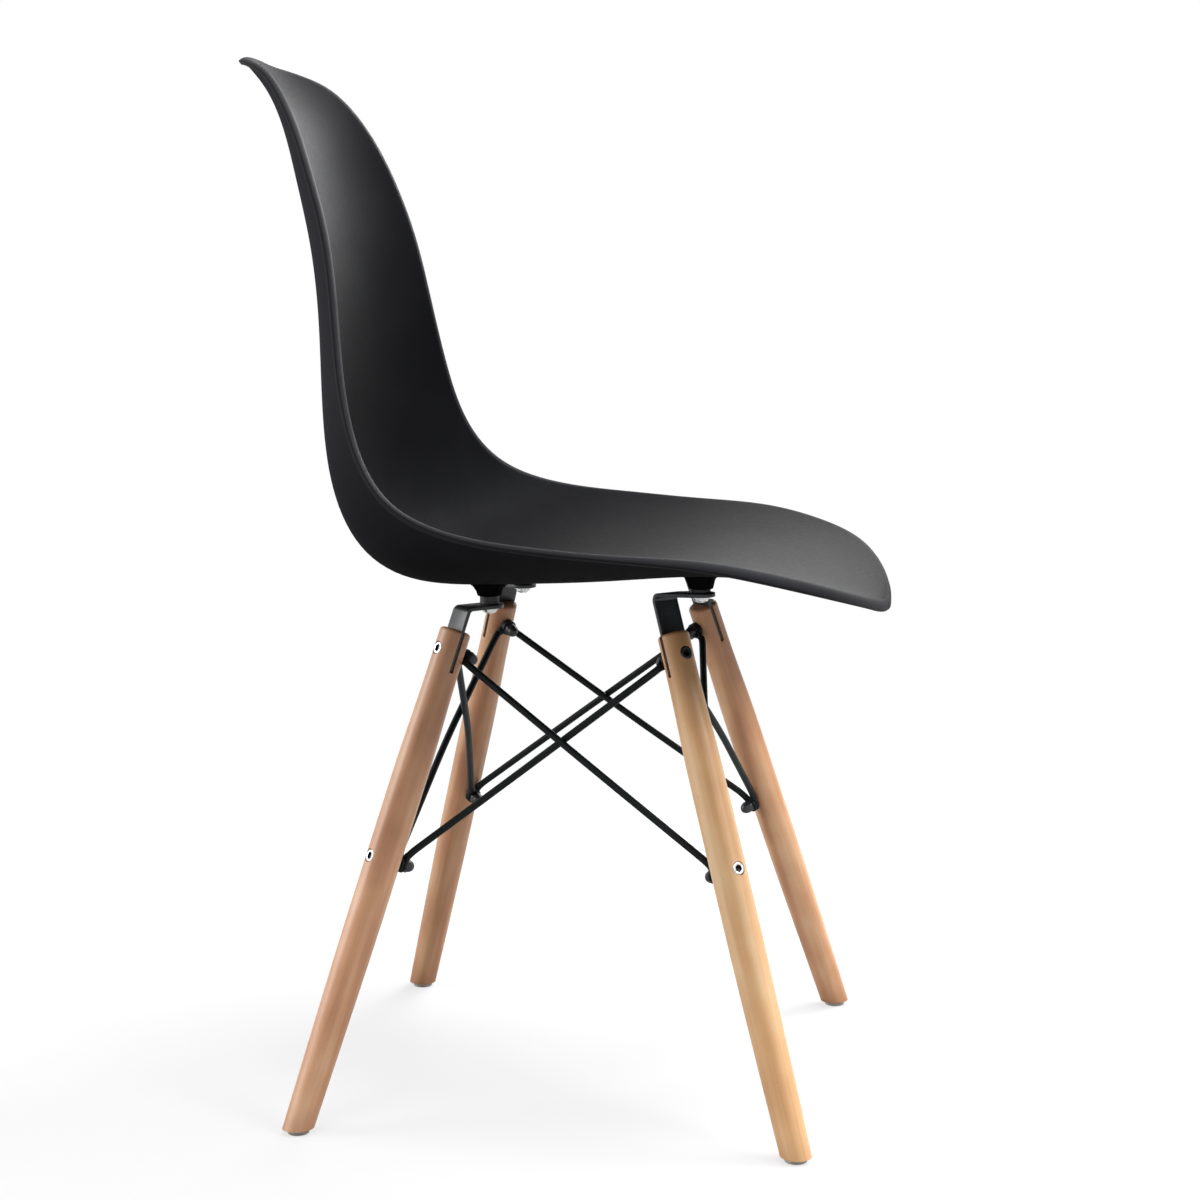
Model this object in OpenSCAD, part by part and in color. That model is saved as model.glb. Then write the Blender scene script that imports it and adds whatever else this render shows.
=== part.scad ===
// Side chair: moulded plastic shell on four leaning dowel legs,
// tied by crossed steel rods and four bent steel brackets.
// X points to the front of the chair, Y to the sitter's left, Z up, in millimetres.
// The origin is on the floor, under the middle of the whole chair.

/* [Shell] */
// Height of the top of the back above the floor
overall_h = 820; // [800:1:840]
// Width of the shell over its rolled edges
shell_w = 470; // [440:1:490]
// Height of the seat surface above the leg tops, at its middle
seat_rise = 39; // [36:0.5:42]
// Wall thickness of the moulded shell
shell_t = 4.5; // [3.5:0.1:5.5]
// Radius of the rolled edge along the seat
seat_roll_r = 7; // [6:0.1:8]
// Radius of the rolled edge along the back
back_roll_r = 8.5; // [7:0.1:10]
// Radius of the rolled edge at the front corners of the seat
front_roll_r = 11; // [8:0.1:13]
// How far the rolled edge turns down and away from the sitter
roll_angle = 80; // [60:1:85]

/* [Shell bosses] */
// Diameter of a boss where it leaves the shell
boss_top_d = 24; // [22:0.5:26]
// Diameter of a boss at its lower end
boss_low_d = 19; // [17:0.5:20]
// Length of a boss fin from the boss axis
fin_reach = 16; // [14:0.5:18]
// Thickness of a boss fin
fin_t = 2; // [1.5:0.1:2.5]
// Distance of the rear bosses from the middle of the frame, along X and along Y
rear_mount = 63; // [60:0.5:66]
// Distance of the front bosses in front of the middle of the frame
front_mount_x = 106; // [103:0.5:108]
// Distance of the front bosses from the centre plane
front_mount_y = 80; // [78:0.5:82]

/* [Seat screws] */
// Diameter of the seat screw shank
screw_d = 6; // [5:0.1:6.5]
// Diameter of the seat screw head
screw_head_d = 11.5; // [10.5:0.1:12.5]
// Height of the seat screw head
screw_head_h = 3.2; // [2.5:0.1:4]
// Outer diameter of the washer under each bracket
washer_d = 14; // [13:0.1:16]
// Thickness of that washer
washer_t = 1.2; // [1:0.1:1.6]
// Outer diameter of the threaded insert in a boss
insert_d = 9; // [8.6:0.1:10]
// Length of the threaded insert
insert_l = 9; // [7:0.1:9.5]
// Outer diameter of the spacer between a boss and its bracket
spacer_d = 15; // [13:0.1:16.5]
// Height of a rear spacer
rear_spacer_h = 6.5; // [5:0.1:7]
// Height of a front spacer
front_spacer_h = 3; // [2:0.1:4]

/* [Brackets] */
// Thickness of the bracket steel
strap_t = 3; // [2.5:0.1:3.5]
// Width of the bracket strap
strap_w = 22; // [20:0.5:23]
// Length of bracket strap inside the leg slot
strap_depth = 32; // [28:0.5:38]
// Inner radius of the bend in the bracket
bend_r = 3; // [2:0.1:4]
// Height of a rear bracket above the leg top
rear_rise = 18; // [17:0.1:19]
// Height of a front bracket above the leg top
front_rise = 31.5; // [30.5:0.1:32.5]

/* [Legs] */
// Distance between neighbouring legs at the floor, axis to axis
foot_spread = 381; // [360:1:396]
// Distance between neighbouring legs at their tops, axis to axis
top_spread = 170; // [166:1:174]
// Height of the leg tops above the floor
leg_top_z = 373; // [350:1:390]
// Diameter of a leg where it is thickest, round its lower bolt
leg_d = 27.4; // [26:0.1:29]
// Diameter of the upper end of a leg
leg_top_d = 24.4; // [24:0.1:26]
// Diameter of a leg at the floor
foot_d = 23; // [20:0.1:25]
// Length of the upper end of a leg that has one diameter
leg_top_l = 30; // [28:1:40]
// Distance below the leg top where the thickest part begins
thick_from = 120; // [90:1:155]
// Distance below the leg top where the thickest part ends
thick_to = 225; // [205:1:260]
// Radius that rounds the top edge of a leg
leg_round_r = 3; // [1:0.1:4]
// Depth of the slot in the leg top, beyond the end of the strap
slot_spare = 1.5; // [1:0.1:4]
// Diameter of a glide under a foot
glide_d = 17; // [15:0.1:19]
// Thickness of a glide
glide_h = 4; // [3:0.1:6]
// Diameter of the nail that holds a glide
nail_d = 2.4; // [2:0.1:3]
// Length of that nail
nail_l = 18; // [12:0.5:24]

/* [Leg bolts] */
// Distance of the upper bolt below the leg top, along the leg
upper_bolt_drop = 17.5; // [16:0.1:20]
// Distance of the lower bolt below the leg top, along the leg
lower_bolt_drop = 185; // [175:0.5:195]
// Diameter of the leg bolts
bolt_d = 6; // [5:0.1:6.4]
// Diameter of the bolt heads
bolt_head_d = 10; // [9:0.1:11]
// Height of the bolt heads
bolt_head_h = 3; // [2.5:0.1:4]
// Distance of the head face inside the surface of the leg
head_sink = 0.6; // [0.2:0.1:1]
// Size across the flats of the hexagonal key hole in a head
key_w = 4; // [3:0.1:4.5]
// Size across the flats of the cap nuts
nut_w = 10; // [9:0.1:11]
// Height of the hexagonal part of a cap nut
nut_h = 4.5; // [4:0.1:6]

/* [Brace rods] */
// Diameter of the brace rods
rod_d = 5.6; // [5:0.1:6]
// Thickness of the flattened end of a rod
tab_t = 2.5; // [2:0.1:2.8]
// Diameter of the eye at the end of a rod
eye_d = 13; // [12:0.1:14]
// Distance from the eye to the bend where the round rod begins
tab_reach = 11; // [9:0.1:13]

/* [Fits] */
// Gap all round between a bolt or screw and the hole it goes through
hole_gap = 0.3; // [0.2:0.05:0.5]
// Gap all round between a pressed piece and its hole
press_gap = 0.05; // [0.03:0.01:0.1]
// Gap on each side between the strap and the slot in the leg
slot_gap = 0.2; // [0.1:0.05:0.4]
// Gap between pieces that lie flat on one another
seat_gap = 0.05; // [0.03:0.01:0.1]
// Gap between two rods where they cross
cross_gap = 0.3; // [0.2:0.05:0.6]

/* [Hidden] */
$fn = 48;

plastic_black = [0.09, 0.09, 0.10];
steel_black = [0.13, 0.14, 0.15];
bush_black = [0.16, 0.16, 0.17];
zinc = [0.78, 0.79, 0.80];
brass = [0.78, 0.62, 0.32];
beech = [0.82, 0.65, 0.48];
glide_grey = [0.72, 0.72, 0.72];

// Shell surface
// Each row of the shell runs from one edge through the centre plane to the other edge.
// Sizes are measured from the middle of the leg frame, for the standard width and height.
std_half_w = 226;
std_seat_z = 412;
fold_z = 440;

// Edge of the shell for each row, from the top of the back to the front of the seat:
// distance forward, distance from the centre plane, height.
edge_rows = [
    [-258, 24, 814.5], [-247, 50, 809], [-223, 80, 796], [-198, 103, 761], [-180, 119, 717],
    [-167, 128, 672], [-158, 140, 620], [-150, 155, 569], [-136, 170, 519], [-106, 191, 480],
    [-56, 213, 461], [0, 226, 454], [60, 226, 449], [120, 217, 444.8], [169, 200.3, 435.2],
    [206.8, 167.5, 422.2], [229.3, 107.3, 407.8], [238.5, 56.7, 398.7], [241.6, 20, 394.7]
];

// Centre line of the shell for the same rows: distance forward, height.
centre_rows = [
    [-260, 816], [-248, 801], [-236, 782], [-225, 755], [-215, 715],
    [-205, 665], [-199, 608], [-197, 546], [-191, 483], [-168, 433],
    [-122, 409], [-52, 408], [24, 412], [95, 418], [150, 418],
    [193, 413.2], [222.6, 404.8], [237.6, 397.7], [242.6, 393.7]
];

// Power of the curve across each row: two is a parabola, more is a flatter middle.
hollow_power = 2.1;
shell_cols = 28;
shell_steps = 3;
last_row = len(edge_rows) - 1;

// Radius of the rolled edge for each row
roll_rows = [
    for (k = [0:last_row])
        let (back = k < 3 ? 0.5 + 0.17 * k : k < 8 ? 1 : k < 11 ? 1 - (k - 7) / 4 : 0,
             front = k < 13 ? 0 : [0.7, 0.95, 0.8, 0.5, 0.4, 0.3][k - 13])
            seat_roll_r + (back_roll_r - seat_roll_r) * back + (front_roll_r - seat_roll_r) * front
];

// Natural cubic spline through equally spaced values, one value per row
function bend_at(y, i) = 6 * (y[i - 1] - 2 * y[i] + y[i + 1]);
function sweep_down(y) = [
    for (i = 1, c = 1 / 4, d = bend_at(y, 1) / 4;
         i < len(y) - 1;
         i = i + 1, d = (i < len(y) - 1) ? (bend_at(y, i) - d) / (4 - c) : d, c = 1 / (4 - c))
        [c, d]
];
function sweep_up(s, i, tail) =
    i < 0 ? tail : sweep_up(s, i - 1, concat([s[i][1] - s[i][0] * tail[0]], tail));
function spline_bends(y) =
    let (zero = 0 * y[0], s = sweep_down(y))
        concat([zero], sweep_up(s, len(s) - 1, [zero]));
function spline(y, m, u) =
    let (i = max(0, min(floor(u), len(y) - 2)), t = u - i, s = 1 - t)
        s * y[i] + t * y[i + 1] + ((s * s * s - s) * m[i] + (t * t * t - t) * m[i + 1]) / 6;

// The rolled edge rises this far above the first row, and stands out this far at the widest row
roll_rise = 0.39 * roll_rows[0];
roll_side = 1.37 * seat_roll_r;
half_w = shell_w / 2 - roll_side;

// Height of a standard row at the chosen overall height and seat height
seat_z = leg_top_z + seat_rise;
std_top = centre_rows[0][1];
low_part = fold_z + seat_z - std_seat_z;
high_part = overall_h - roll_rise - low_part;
function set_height(z) =
    z < fold_z
        ? z + seat_z - std_seat_z
        : low_part + (z - fold_z) * high_part / (std_top - fold_z);
edge_line = [for (r = edge_rows) [r[0], r[1] * half_w / std_half_w, set_height(r[2])]];
centre_line = [for (r = centre_rows) [r[0], 0, set_height(r[1])]];
edge_bends = spline_bends(edge_line);
centre_bends = spline_bends(centre_line);
roll_bends = spline_bends(roll_rows);

function edge_at(u) = spline(edge_line, edge_bends, u);
function centre_at(u) = spline(centre_line, centre_bends, u);

// Point of the upper surface: u is the row, v runs from -1 at the right edge to 1 at the left
function skin(u, v) =
    let (e = edge_at(u), c = centre_at(u), g = pow(abs(v), hollow_power))
        [c.x + (e.x - c.x) * g, e.y * v, c.z + (e.z - c.z) * g];
function unit(a) = a / norm(a);
step = 0.03;
function skin_normal(u, v) =
    unit(cross(skin(u + step, v) - skin(u - step, v), skin(u, v + step) - skin(u, v - step)));

rows = last_row * shell_steps;
function u_of(i) = i / shell_steps;
function v_of(j) = 2 * j / shell_cols - 1;
upper_grid = [for (i = [0:rows]) [for (j = [0:shell_cols]) skin(u_of(i), v_of(j))]];

// The edge of the grid as one closed ring of [row, column] pairs
ring = concat(
    [for (j = [0:shell_cols]) [0, j]],
    [for (i = [1:rows]) [i, shell_cols]],
    [for (j = [shell_cols - 1:-1:0]) [rows, j]],
    [for (i = [rows - 1:-1:1]) [i, 0]]
);
ring_n = len(ring);
function ring_point(k) = let (q = ring[(k + ring_n) % ring_n]) upper_grid[q[0]][q[1]];
function ring_along(k) = unit(ring_point(k + 1) - ring_point(k - 1));
// A place a little way in from the edge, that the surface beside the edge leans to
function ring_inward(k) =
    let (u = u_of(ring[k][0]), v = v_of(ring[k][1]))
        skin(max(1.4, min(u, last_row - 1.4)), 0.86 * v) - ring_point(k);
function ring_up(k) = unit(cross(ring_inward(k), ring_along(k)));
function ring_out(k) = cross(ring_along(k), -ring_up(k));
ring_ups = [for (k = [0:ring_n - 1]) ring_up(k)];
ring_outs = [for (k = [0:ring_n - 1]) ring_out(k)];
ring_rolls = [for (k = [0:ring_n - 1]) spline(roll_rows, roll_bends, u_of(ring[k][0]))];

// Point of the rolled edge: depth is measured into the wall, angle from the upper surface
function roll_point(k, depth, angle) =
    let (r = ring_rolls[k])
        ring_point(k) - r * ring_ups[k]
            + (r - depth) * (sin(angle) * ring_outs[k] + cos(angle) * ring_ups[k]);

roll_turns = 4;
outer_turns = [for (t = [1:roll_turns]) roll_angle * t / roll_turns];
inner_turns = [for (t = [roll_turns:-1:0]) roll_angle * t / roll_turns];
roll_rings = concat(
    [for (a = outer_turns) [for (k = [0:ring_n - 1]) roll_point(k, 0, a)]],
    [for (a = inner_turns) [for (k = [0:ring_n - 1]) roll_point(k, shell_t, a)]]
);
last_ring = len(roll_rings) - 1;

// The lower grid keeps the ring's own direction at its edge
function on_edge(i, j) = i == 0 || i == rows || j == 0 || j == shell_cols;
lower_inner = [
    for (i = [1:rows - 1])
        [for (j = [1:shell_cols - 1]) upper_grid[i][j] - shell_t * skin_normal(u_of(i), v_of(j))]
];

// All points in one list: upper grid, rolled rings, lower grid without its edge
shell_points_raw = concat(
    [for (row = upper_grid) each row],
    [for (r = roll_rings) each r],
    [for (row = lower_inner) each row]
);
shell_low_x = min([for (p = shell_points_raw) p.x]);
shell_high_x = max([for (p = shell_points_raw) p.x]);

// The whole chair is moved along X so that its origin is in its middle
frame_x = -(shell_low_x + shell_high_x) / 2;

grid_w = shell_cols + 1;
grid_n = (rows + 1) * grid_w;
function upper_id(i, j) = i * grid_w + j;
function ring_id(k) = let (q = ring[k % ring_n]) upper_id(q[0], q[1]);
function roll_id(r, k) = grid_n + r * ring_n + k % ring_n;
function ring_place(i, j) =
    i == 0 ? j
        : j == shell_cols ? shell_cols + i
        : i == rows ? shell_cols + rows + shell_cols - j
        : 2 * shell_cols + rows + rows - i;
function lower_id(i, j) =
    on_edge(i, j)
        ? roll_id(last_ring, ring_place(i, j))
        : grid_n + len(roll_rings) * ring_n + (i - 1) * (shell_cols - 1) + j - 1;

// Each four-sided patch becomes two triangles
function patch(a, b, c, d) = [[a, b, c], [a, c, d]];
shell_faces = concat(
    [
        for (i = [0:rows - 1])
            for (j = [0:shell_cols - 1])
                each patch(upper_id(i, j), upper_id(i, j + 1), upper_id(i + 1, j + 1), upper_id(i + 1, j))
    ],
    [
        for (i = [0:rows - 1])
            for (j = [0:shell_cols - 1])
                each patch(lower_id(i, j), lower_id(i + 1, j), lower_id(i + 1, j + 1), lower_id(i, j + 1))
    ],
    [
        for (k = [0:ring_n - 1])
            each patch(ring_id(k), roll_id(0, k), roll_id(0, k + 1), ring_id(k + 1))
    ],
    [
        for (r = [0:last_ring - 1])
            for (k = [0:ring_n - 1])
                each patch(roll_id(r, k), roll_id(r + 1, k), roll_id(r + 1, k + 1), roll_id(r, k + 1))
    ]
);

// Row of the shell that passes over a place on the seat
function row_over(x, y, low, high, n) =
    let (mid = (low + high) / 2)
        n == 0 ? mid
            : skin(mid, y / edge_at(mid).y).x < x ? row_over(x, y, mid, high, n - 1)
            : row_over(x, y, low, mid, n - 1);
function seat_height(x, y) =
    let (u = row_over(x, y, 9, last_row - 1, 24))
        skin(u, y / edge_at(u).y).z;

// Leg frame
top_r = top_spread / sqrt(2);
foot_r = foot_spread / sqrt(2);
lean = atan((foot_r - top_r) / leg_top_z);
leg_l = leg_top_z / cos(lean);
leg_angles = [45, 135, 225, 315];
rear_flange_z = leg_top_z + rear_rise;
front_flange_z = leg_top_z + front_rise;

// Mounts of the shell, in the order of the legs: place, height of the bracket's upper face, spacer
mounts = [
    [front_mount_x, front_mount_y, front_flange_z, front_spacer_h],
    [-rear_mount, rear_mount, rear_flange_z, rear_spacer_h],
    [-rear_mount, -rear_mount, rear_flange_z, rear_spacer_h],
    [front_mount_x, -front_mount_y, front_flange_z, front_spacer_h]
];
function spacer_low(m) = m[2] + seat_gap;
function boss_low(m) = spacer_low(m) + m[3] + seat_gap;
function insert_low(m) = boss_low(m) + seat_gap;
insert_room = insert_l + 2;
boss_skin = 2.5;

module at_mount(m) {
    translate([frame_x + m[0], m[1], 0]) children();
}

// Frame of one leg: origin at the middle of the leg top, Z up along the leg, X outward
module at_leg(n) {
    translate([frame_x, 0, 0])
        rotate([0, 0, leg_angles[n]])
            translate([top_r, 0, leg_top_z])
                rotate([0, -lean, 0])
                    children();
}

// Radius of a leg at a distance below its top
function ease(t) = (1 - cos(180 * t)) / 2;
taper_power = 1.3;
function leg_side(s) =
    s < leg_top_l ? leg_top_d / 2
        : s < thick_from ? (leg_top_d + (leg_d - leg_top_d) * ease((s - leg_top_l) / (thick_from - leg_top_l))) / 2
        : s < thick_to ? leg_d / 2
        : (leg_d - (leg_d - foot_d) * pow(min(1, (s - thick_to) / (leg_l - thick_to)), taper_power)) / 2;

// Upright frame of one leg: Z straight up from the floor, X outward
module at_corner(n) {
    translate([frame_x, 0, 0])
        rotate([0, 0, leg_angles[n]])
            children();
}

// Height inside the shell wall, a little way from the axis of a boss
function root_height(m, d) = seat_height(m[0] + d.x, m[1] + d.y) - boss_skin;

module boss(m) {
    low = boss_low(m);
    high = root_height(m, [0, 0]);
    at_mount(m) {
        translate([0, 0, low]) cylinder(h = high - low, d1 = boss_low_d, d2 = boss_top_d);
        for (turn = [45, 135])
            let (far = fin_reach * [cos(turn), sin(turn)])
                rotate([0, 0, turn])
                    translate([0, fin_t / 2, 0])
                        rotate([90, 0, 0])
                            linear_extrude(fin_t)
                                polygon([[-fin_reach, root_height(m, -far)], [-boss_low_d / 2, low + 1],
                                         [boss_low_d / 2, low + 1], [fin_reach, root_height(m, far)],
                                         [0, high]]);
    }
}

module seat_shell() {
    color(plastic_black)
        difference() {
            union() {
                translate([frame_x, 0, 0])
                    polyhedron(points = shell_points_raw, faces = shell_faces, convexity = 6);
                for (m = mounts) boss(m);
            }
            for (m = mounts)
                at_mount(m)
                    translate([0, 0, boss_low(m) - 1])
                        cylinder(h = insert_room + 1, d = insert_d + 2 * press_gap);
        }
}

// Tube with a straight bore
module tube(h, outer, bore) {
    difference() {
        cylinder(h = h, d = outer);
        translate([0, 0, -1]) cylinder(h = h + 2, d = bore);
    }
}

module threaded_inserts() {
    color(brass)
        for (m = mounts)
            at_mount(m)
                translate([0, 0, insert_low(m)])
                    tube(insert_l, insert_d, screw_d + 2 * press_gap);
}

module boss_spacers() {
    color(bush_black)
        for (m = mounts)
            at_mount(m)
                translate([0, 0, spacer_low(m)])
                    tube(m[3], spacer_d, screw_d + 2 * hole_gap);
}

module seat_washers() {
    color(zinc)
        for (m = mounts)
            at_mount(m)
                translate([0, 0, m[2] - strap_t - seat_gap - washer_t])
                    tube(washer_t, washer_d, screw_d + 2 * hole_gap);
}

// Low domed head with its flat side up, centred under the origin
module domed_head(d, h) {
    rim = h / 3;
    rotate_extrude()
        polygon(concat(
            [[0, 0], [d / 2, 0], [d / 2, -rim]],
            [for (a = [15:15:90]) [d / 2 * cos(a), -rim - (h - rim) * sin(a)]]
        ));
}

// Hexagonal key hole, cut upward from the lowest point of a head
module key_hole(w, depth) {
    rotate([0, 0, 30]) cylinder(h = depth, d = w / cos(30), $fn = 6);
}

module seat_screws() {
    color(zinc)
        for (m = mounts) {
            head_z = m[2] - strap_t - washer_t - 2 * seat_gap;
            tip_z = insert_low(m) + insert_l - 0.5;
            at_mount(m)
                difference() {
                    union() {
                        translate([0, 0, head_z]) domed_head(screw_head_d, screw_head_h);
                        translate([0, 0, head_z]) cylinder(h = tip_z - head_z, d = screw_d);
                    }
                    translate([0, 0, head_z - screw_head_h - 1]) key_hole(key_w, screw_head_h - 0.2);
                }
        }
}

// Side view of a bracket: stem in the leg, bend, and the start of the flange.
// X is outward from the middle of the chair, Y is height; way is 1 for a front bracket.
function stem_x(flange_z, way) =
    let (mid_r = bend_r + strap_t / 2,
         rise = (flange_z - bend_r - strap_t - leg_top_z - way * sin(lean) * mid_r) / cos(lean))
        top_r - rise * sin(lean) + way * cos(lean) * mid_r;
function bend_centre(flange_z, way) = [stem_x(flange_z, way), flange_z - bend_r - strap_t];
function bend_arc(c, r, way) =
    let (from = way > 0 ? 180 + lean : lean, turns = 8)
        [for (t = [0:turns]) let (a = from + (90 - from) * t / turns) c + r * [cos(a), sin(a)]];
function stem_side(side) =
    let (foot = [top_r + strap_depth * sin(lean), leg_top_z - strap_depth * cos(lean)])
        foot + side * strap_t / 2 * [cos(lean), sin(lean)];

module bracket(n) {
    m = mounts[n];
    way = n == 0 || n == 3 ? 1 : -1;
    c = bend_centre(m[2], way);
    outer = bend_arc(c, bend_r + strap_t, way);
    inner = bend_arc(c, bend_r, way);
    a = leg_angles[n];
    // Mount seen from the leg's own corner: outward, then across
    out = m[0] * cos(a) + m[1] * sin(a);
    across = m[1] * cos(a) - m[0] * sin(a);
    run = unit([out - c.x, across]);
    edge = strap_w / 2 * [-run.y, run.x];
    color(steel_black)
        difference() {
            union() {
                at_corner(n)
                    translate([0, strap_w / 2, 0])
                        rotate([90, 0, 0])
                            linear_extrude(strap_w)
                                polygon(concat(
                                    [stem_side(-way)], outer, [for (k = [8:-1:0]) inner[k]], [stem_side(way)]
                                ));
                at_corner(n)
                    translate([0, 0, m[2] - strap_t])
                        linear_extrude(strap_t) {
                            polygon([[c.x, -strap_w / 2], [out, across] - way * edge,
                                     [out, across] + way * edge, [c.x, strap_w / 2]]);
                            translate([out, across]) circle(d = strap_w);
                        }
            }
            at_mount(m)
                translate([0, 0, m[2] - strap_t - 1])
                    cylinder(h = strap_t + 2, d = screw_d + 2 * hole_gap);
            at_leg(n)
                translate([-10, 0, -upper_bolt_drop])
                    rotate([0, 90, 0])
                        cylinder(h = 20, d = bolt_d + 2 * hole_gap);
        }
}

module front_left_bracket() { bracket(0); }
module rear_left_bracket() { bracket(1); }
module rear_right_bracket() { bracket(2); }
module front_right_bracket() { bracket(3); }

// Profile of a leg turned round its axis: rounded top, swell to the thickest part, taper to the foot
leg_steps = 8;
leg_stations = concat(
    [for (k = [0:leg_steps]) leg_top_l + (thick_from - leg_top_l) * k / leg_steps],
    [for (k = [0:leg_steps]) thick_to + (leg_l - thick_to) * k / leg_steps]
);
module leg_stock() {
    r = leg_top_d / 2;
    rotate_extrude()
        polygon(concat(
            [[0, 0]],
            [for (a = [90:-15:0]) [r - leg_round_r + leg_round_r * cos(a), -leg_round_r + leg_round_r * sin(a)]],
            [for (s = leg_stations) [leg_side(s), -s]],
            [[foot_d / 2, -leg_l - 12], [0, -leg_l - 12]]
        ));
}

bolt_drops = [upper_bolt_drop, lower_bolt_drop];

module leg(n) {
    color(beech)
        difference() {
            at_leg(n)
                difference() {
                    leg_stock();
                    translate([-strap_t / 2 - slot_gap, -leg_d, -strap_depth - slot_spare])
                        cube([strap_t + 2 * slot_gap, 2 * leg_d, strap_depth + slot_spare + 1]);
                    for (drop = bolt_drops)
                        translate([0, 0, -drop])
                            rotate([0, 90, 0]) {
                                translate([0, 0, -leg_d]) cylinder(h = 2 * leg_d, d = bolt_d + 2 * hole_gap);
                                translate([0, 0, leg_side(drop) - head_sink - bolt_head_h - seat_gap])
                                    cylinder(h = leg_d, d = bolt_head_d + 2 * hole_gap);
                            }
                }
            at_corner(n) {
                translate([0, -leg_d, -2 * leg_d]) cube([2 * foot_r, 2 * leg_d, 2 * leg_d + glide_h + seat_gap]);
                translate([glide_r, 0, 0]) cylinder(h = nail_top + 1, d = nail_d + 2 * press_gap);
            }
        }
}

module front_left_leg() { leg(0); }
module rear_left_leg() { leg(1); }
module rear_right_leg() { leg(2); }
module front_right_leg() { leg(3); }

// The glide sits under the middle of the foot, at the height where the foot is cut level
glide_r = foot_r - (glide_h + seat_gap) * tan(lean);
glide_edge = 0.8;
nail_sink = 1.2;
nail_head_d = 6;
nail_top = nail_sink + nail_l;

module glide(n) {
    color(glide_grey)
        at_corner(n)
            translate([glide_r, 0, 0])
                difference() {
                    rotate_extrude()
                        polygon([[0, 0], [glide_d / 2 - glide_edge, 0], [glide_d / 2, glide_edge],
                                 [glide_d / 2, glide_h], [0, glide_h]]);
                    translate([0, 0, -1]) cylinder(h = glide_h + 2, d = nail_d + 2 * press_gap);
                    translate([0, 0, -1]) cylinder(h = nail_sink + 2, d = nail_head_d + 2 * hole_gap);
                }
}

module front_left_glide() { glide(0); }
module rear_left_glide() { glide(1); }
module rear_right_glide() { glide(2); }
module front_right_glide() { glide(3); }

module glide_nails() {
    color(zinc)
        for (n = [0:3])
            at_corner(n)
                translate([glide_r, 0, nail_sink - 0.8]) {
                    cylinder(h = 1.7, d = nail_head_d);
                    cylinder(h = nail_l, d = nail_d);
                }
}

// Tabs of two rods lie on the inner side of each leg, the cap nut on top of them
function tab_low(drop, layer) = leg_side(drop) + seat_gap + layer * (tab_t + seat_gap);
function nut_low(drop) = tab_low(drop, 2);
nut_dome_h = nut_w / 2;

module leg_bolts(drop) {
    face = leg_side(drop) - head_sink;
    bolt_tip = nut_low(drop) + nut_h;
    color(zinc)
        for (n = [0:3])
            at_leg(n)
                translate([0, 0, -drop])
                    rotate([0, 90, 0])
                        difference() {
                            union() {
                                translate([0, 0, face - bolt_head_h]) cylinder(h = bolt_head_h, d = bolt_head_d);
                                translate([0, 0, -bolt_tip]) cylinder(h = bolt_tip + face - 1, d = bolt_d);
                            }
                            translate([0, 0, face - bolt_head_h + 0.8]) key_hole(key_w, bolt_head_h);
                        }
}

module cap_nuts(drop) {
    color(steel_black)
        for (n = [0:3])
            at_leg(n)
                translate([0, 0, -drop])
                    rotate([0, -90, 0])
                        translate([0, 0, nut_low(drop)])
                            difference() {
                                union() {
                                    cylinder(h = nut_h, d = nut_w / cos(30), $fn = 6);
                                    translate([0, 0, nut_h])
                                        rotate_extrude()
                                            polygon(concat(
                                                [[0, -1], [nut_w / 2, -1]],
                                                [for (a = [0:15:90]) [nut_w / 2 * cos(a), nut_dome_h * sin(a)]]
                                            ));
                                }
                                translate([0, 0, -1]) cylinder(h = nut_h + 1.5, d = bolt_d + 2 * press_gap);
                            }
}

module upper_leg_bolts() { leg_bolts(upper_bolt_drop); }
module lower_leg_bolts() { leg_bolts(lower_bolt_drop); }
module upper_cap_nuts() { cap_nuts(upper_bolt_drop); }
module lower_cap_nuts() { cap_nuts(lower_bolt_drop); }

// Directions of a leg frame, in the frame of the chair
function turn_z(p, a) = [p.x * cos(a) - p.y * sin(a), p.x * sin(a) + p.y * cos(a), p.z];
function leg_dir(n, p) =
    turn_z([p.x * cos(lean) - p.z * sin(lean), p.y, p.x * sin(lean) + p.z * cos(lean)], leg_angles[n]);
function leg_place(n, p) =
    turn_z([top_r, 0, leg_top_z], leg_angles[n]) + leg_dir(n, p);

// Middle of the eye of a rod on one leg, in one of the two layers
function eye_place(n, drop, layer) = leg_place(n, [-(tab_low(drop, layer) + tab_t / 2), 0, -drop]);
// Direction in which the tab points, flat against the leg, toward the other end of the rod
function tab_dir(n, from, to) =
    let (face = leg_dir(n, [1, 0, 0]), d = to - from)
        unit(d - (d * face) * face);

// Cylinder from one point to another
module bar(p, q, d) {
    v = q - p;
    translate(p)
        rotate([0, acos(v.z / norm(v)), atan2(v.y, v.x)])
            cylinder(h = norm(v), d = d);
}

// Flattened end of a rod: an eye and a short neck
module tab(n, p, dir) {
    tangent = leg_dir(n, [0, 1, 0]);
    along = leg_dir(n, [0, 0, 1]);
    turn = atan2(dir * tangent, dir * along);
    translate(p)
        rotate([0, 0, leg_angles[n]])
            rotate([0, -lean, 0])
                rotate([0, 90, 0])
                    rotate([0, 0, 180 - turn])
                        translate([0, 0, -tab_t / 2]) {
                            cylinder(h = tab_t, d = eye_d);
                            translate([0, -neck_w / 2, 0]) cube([tab_reach, neck_w, tab_t]);
                        }
}
neck_w = 8;

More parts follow.
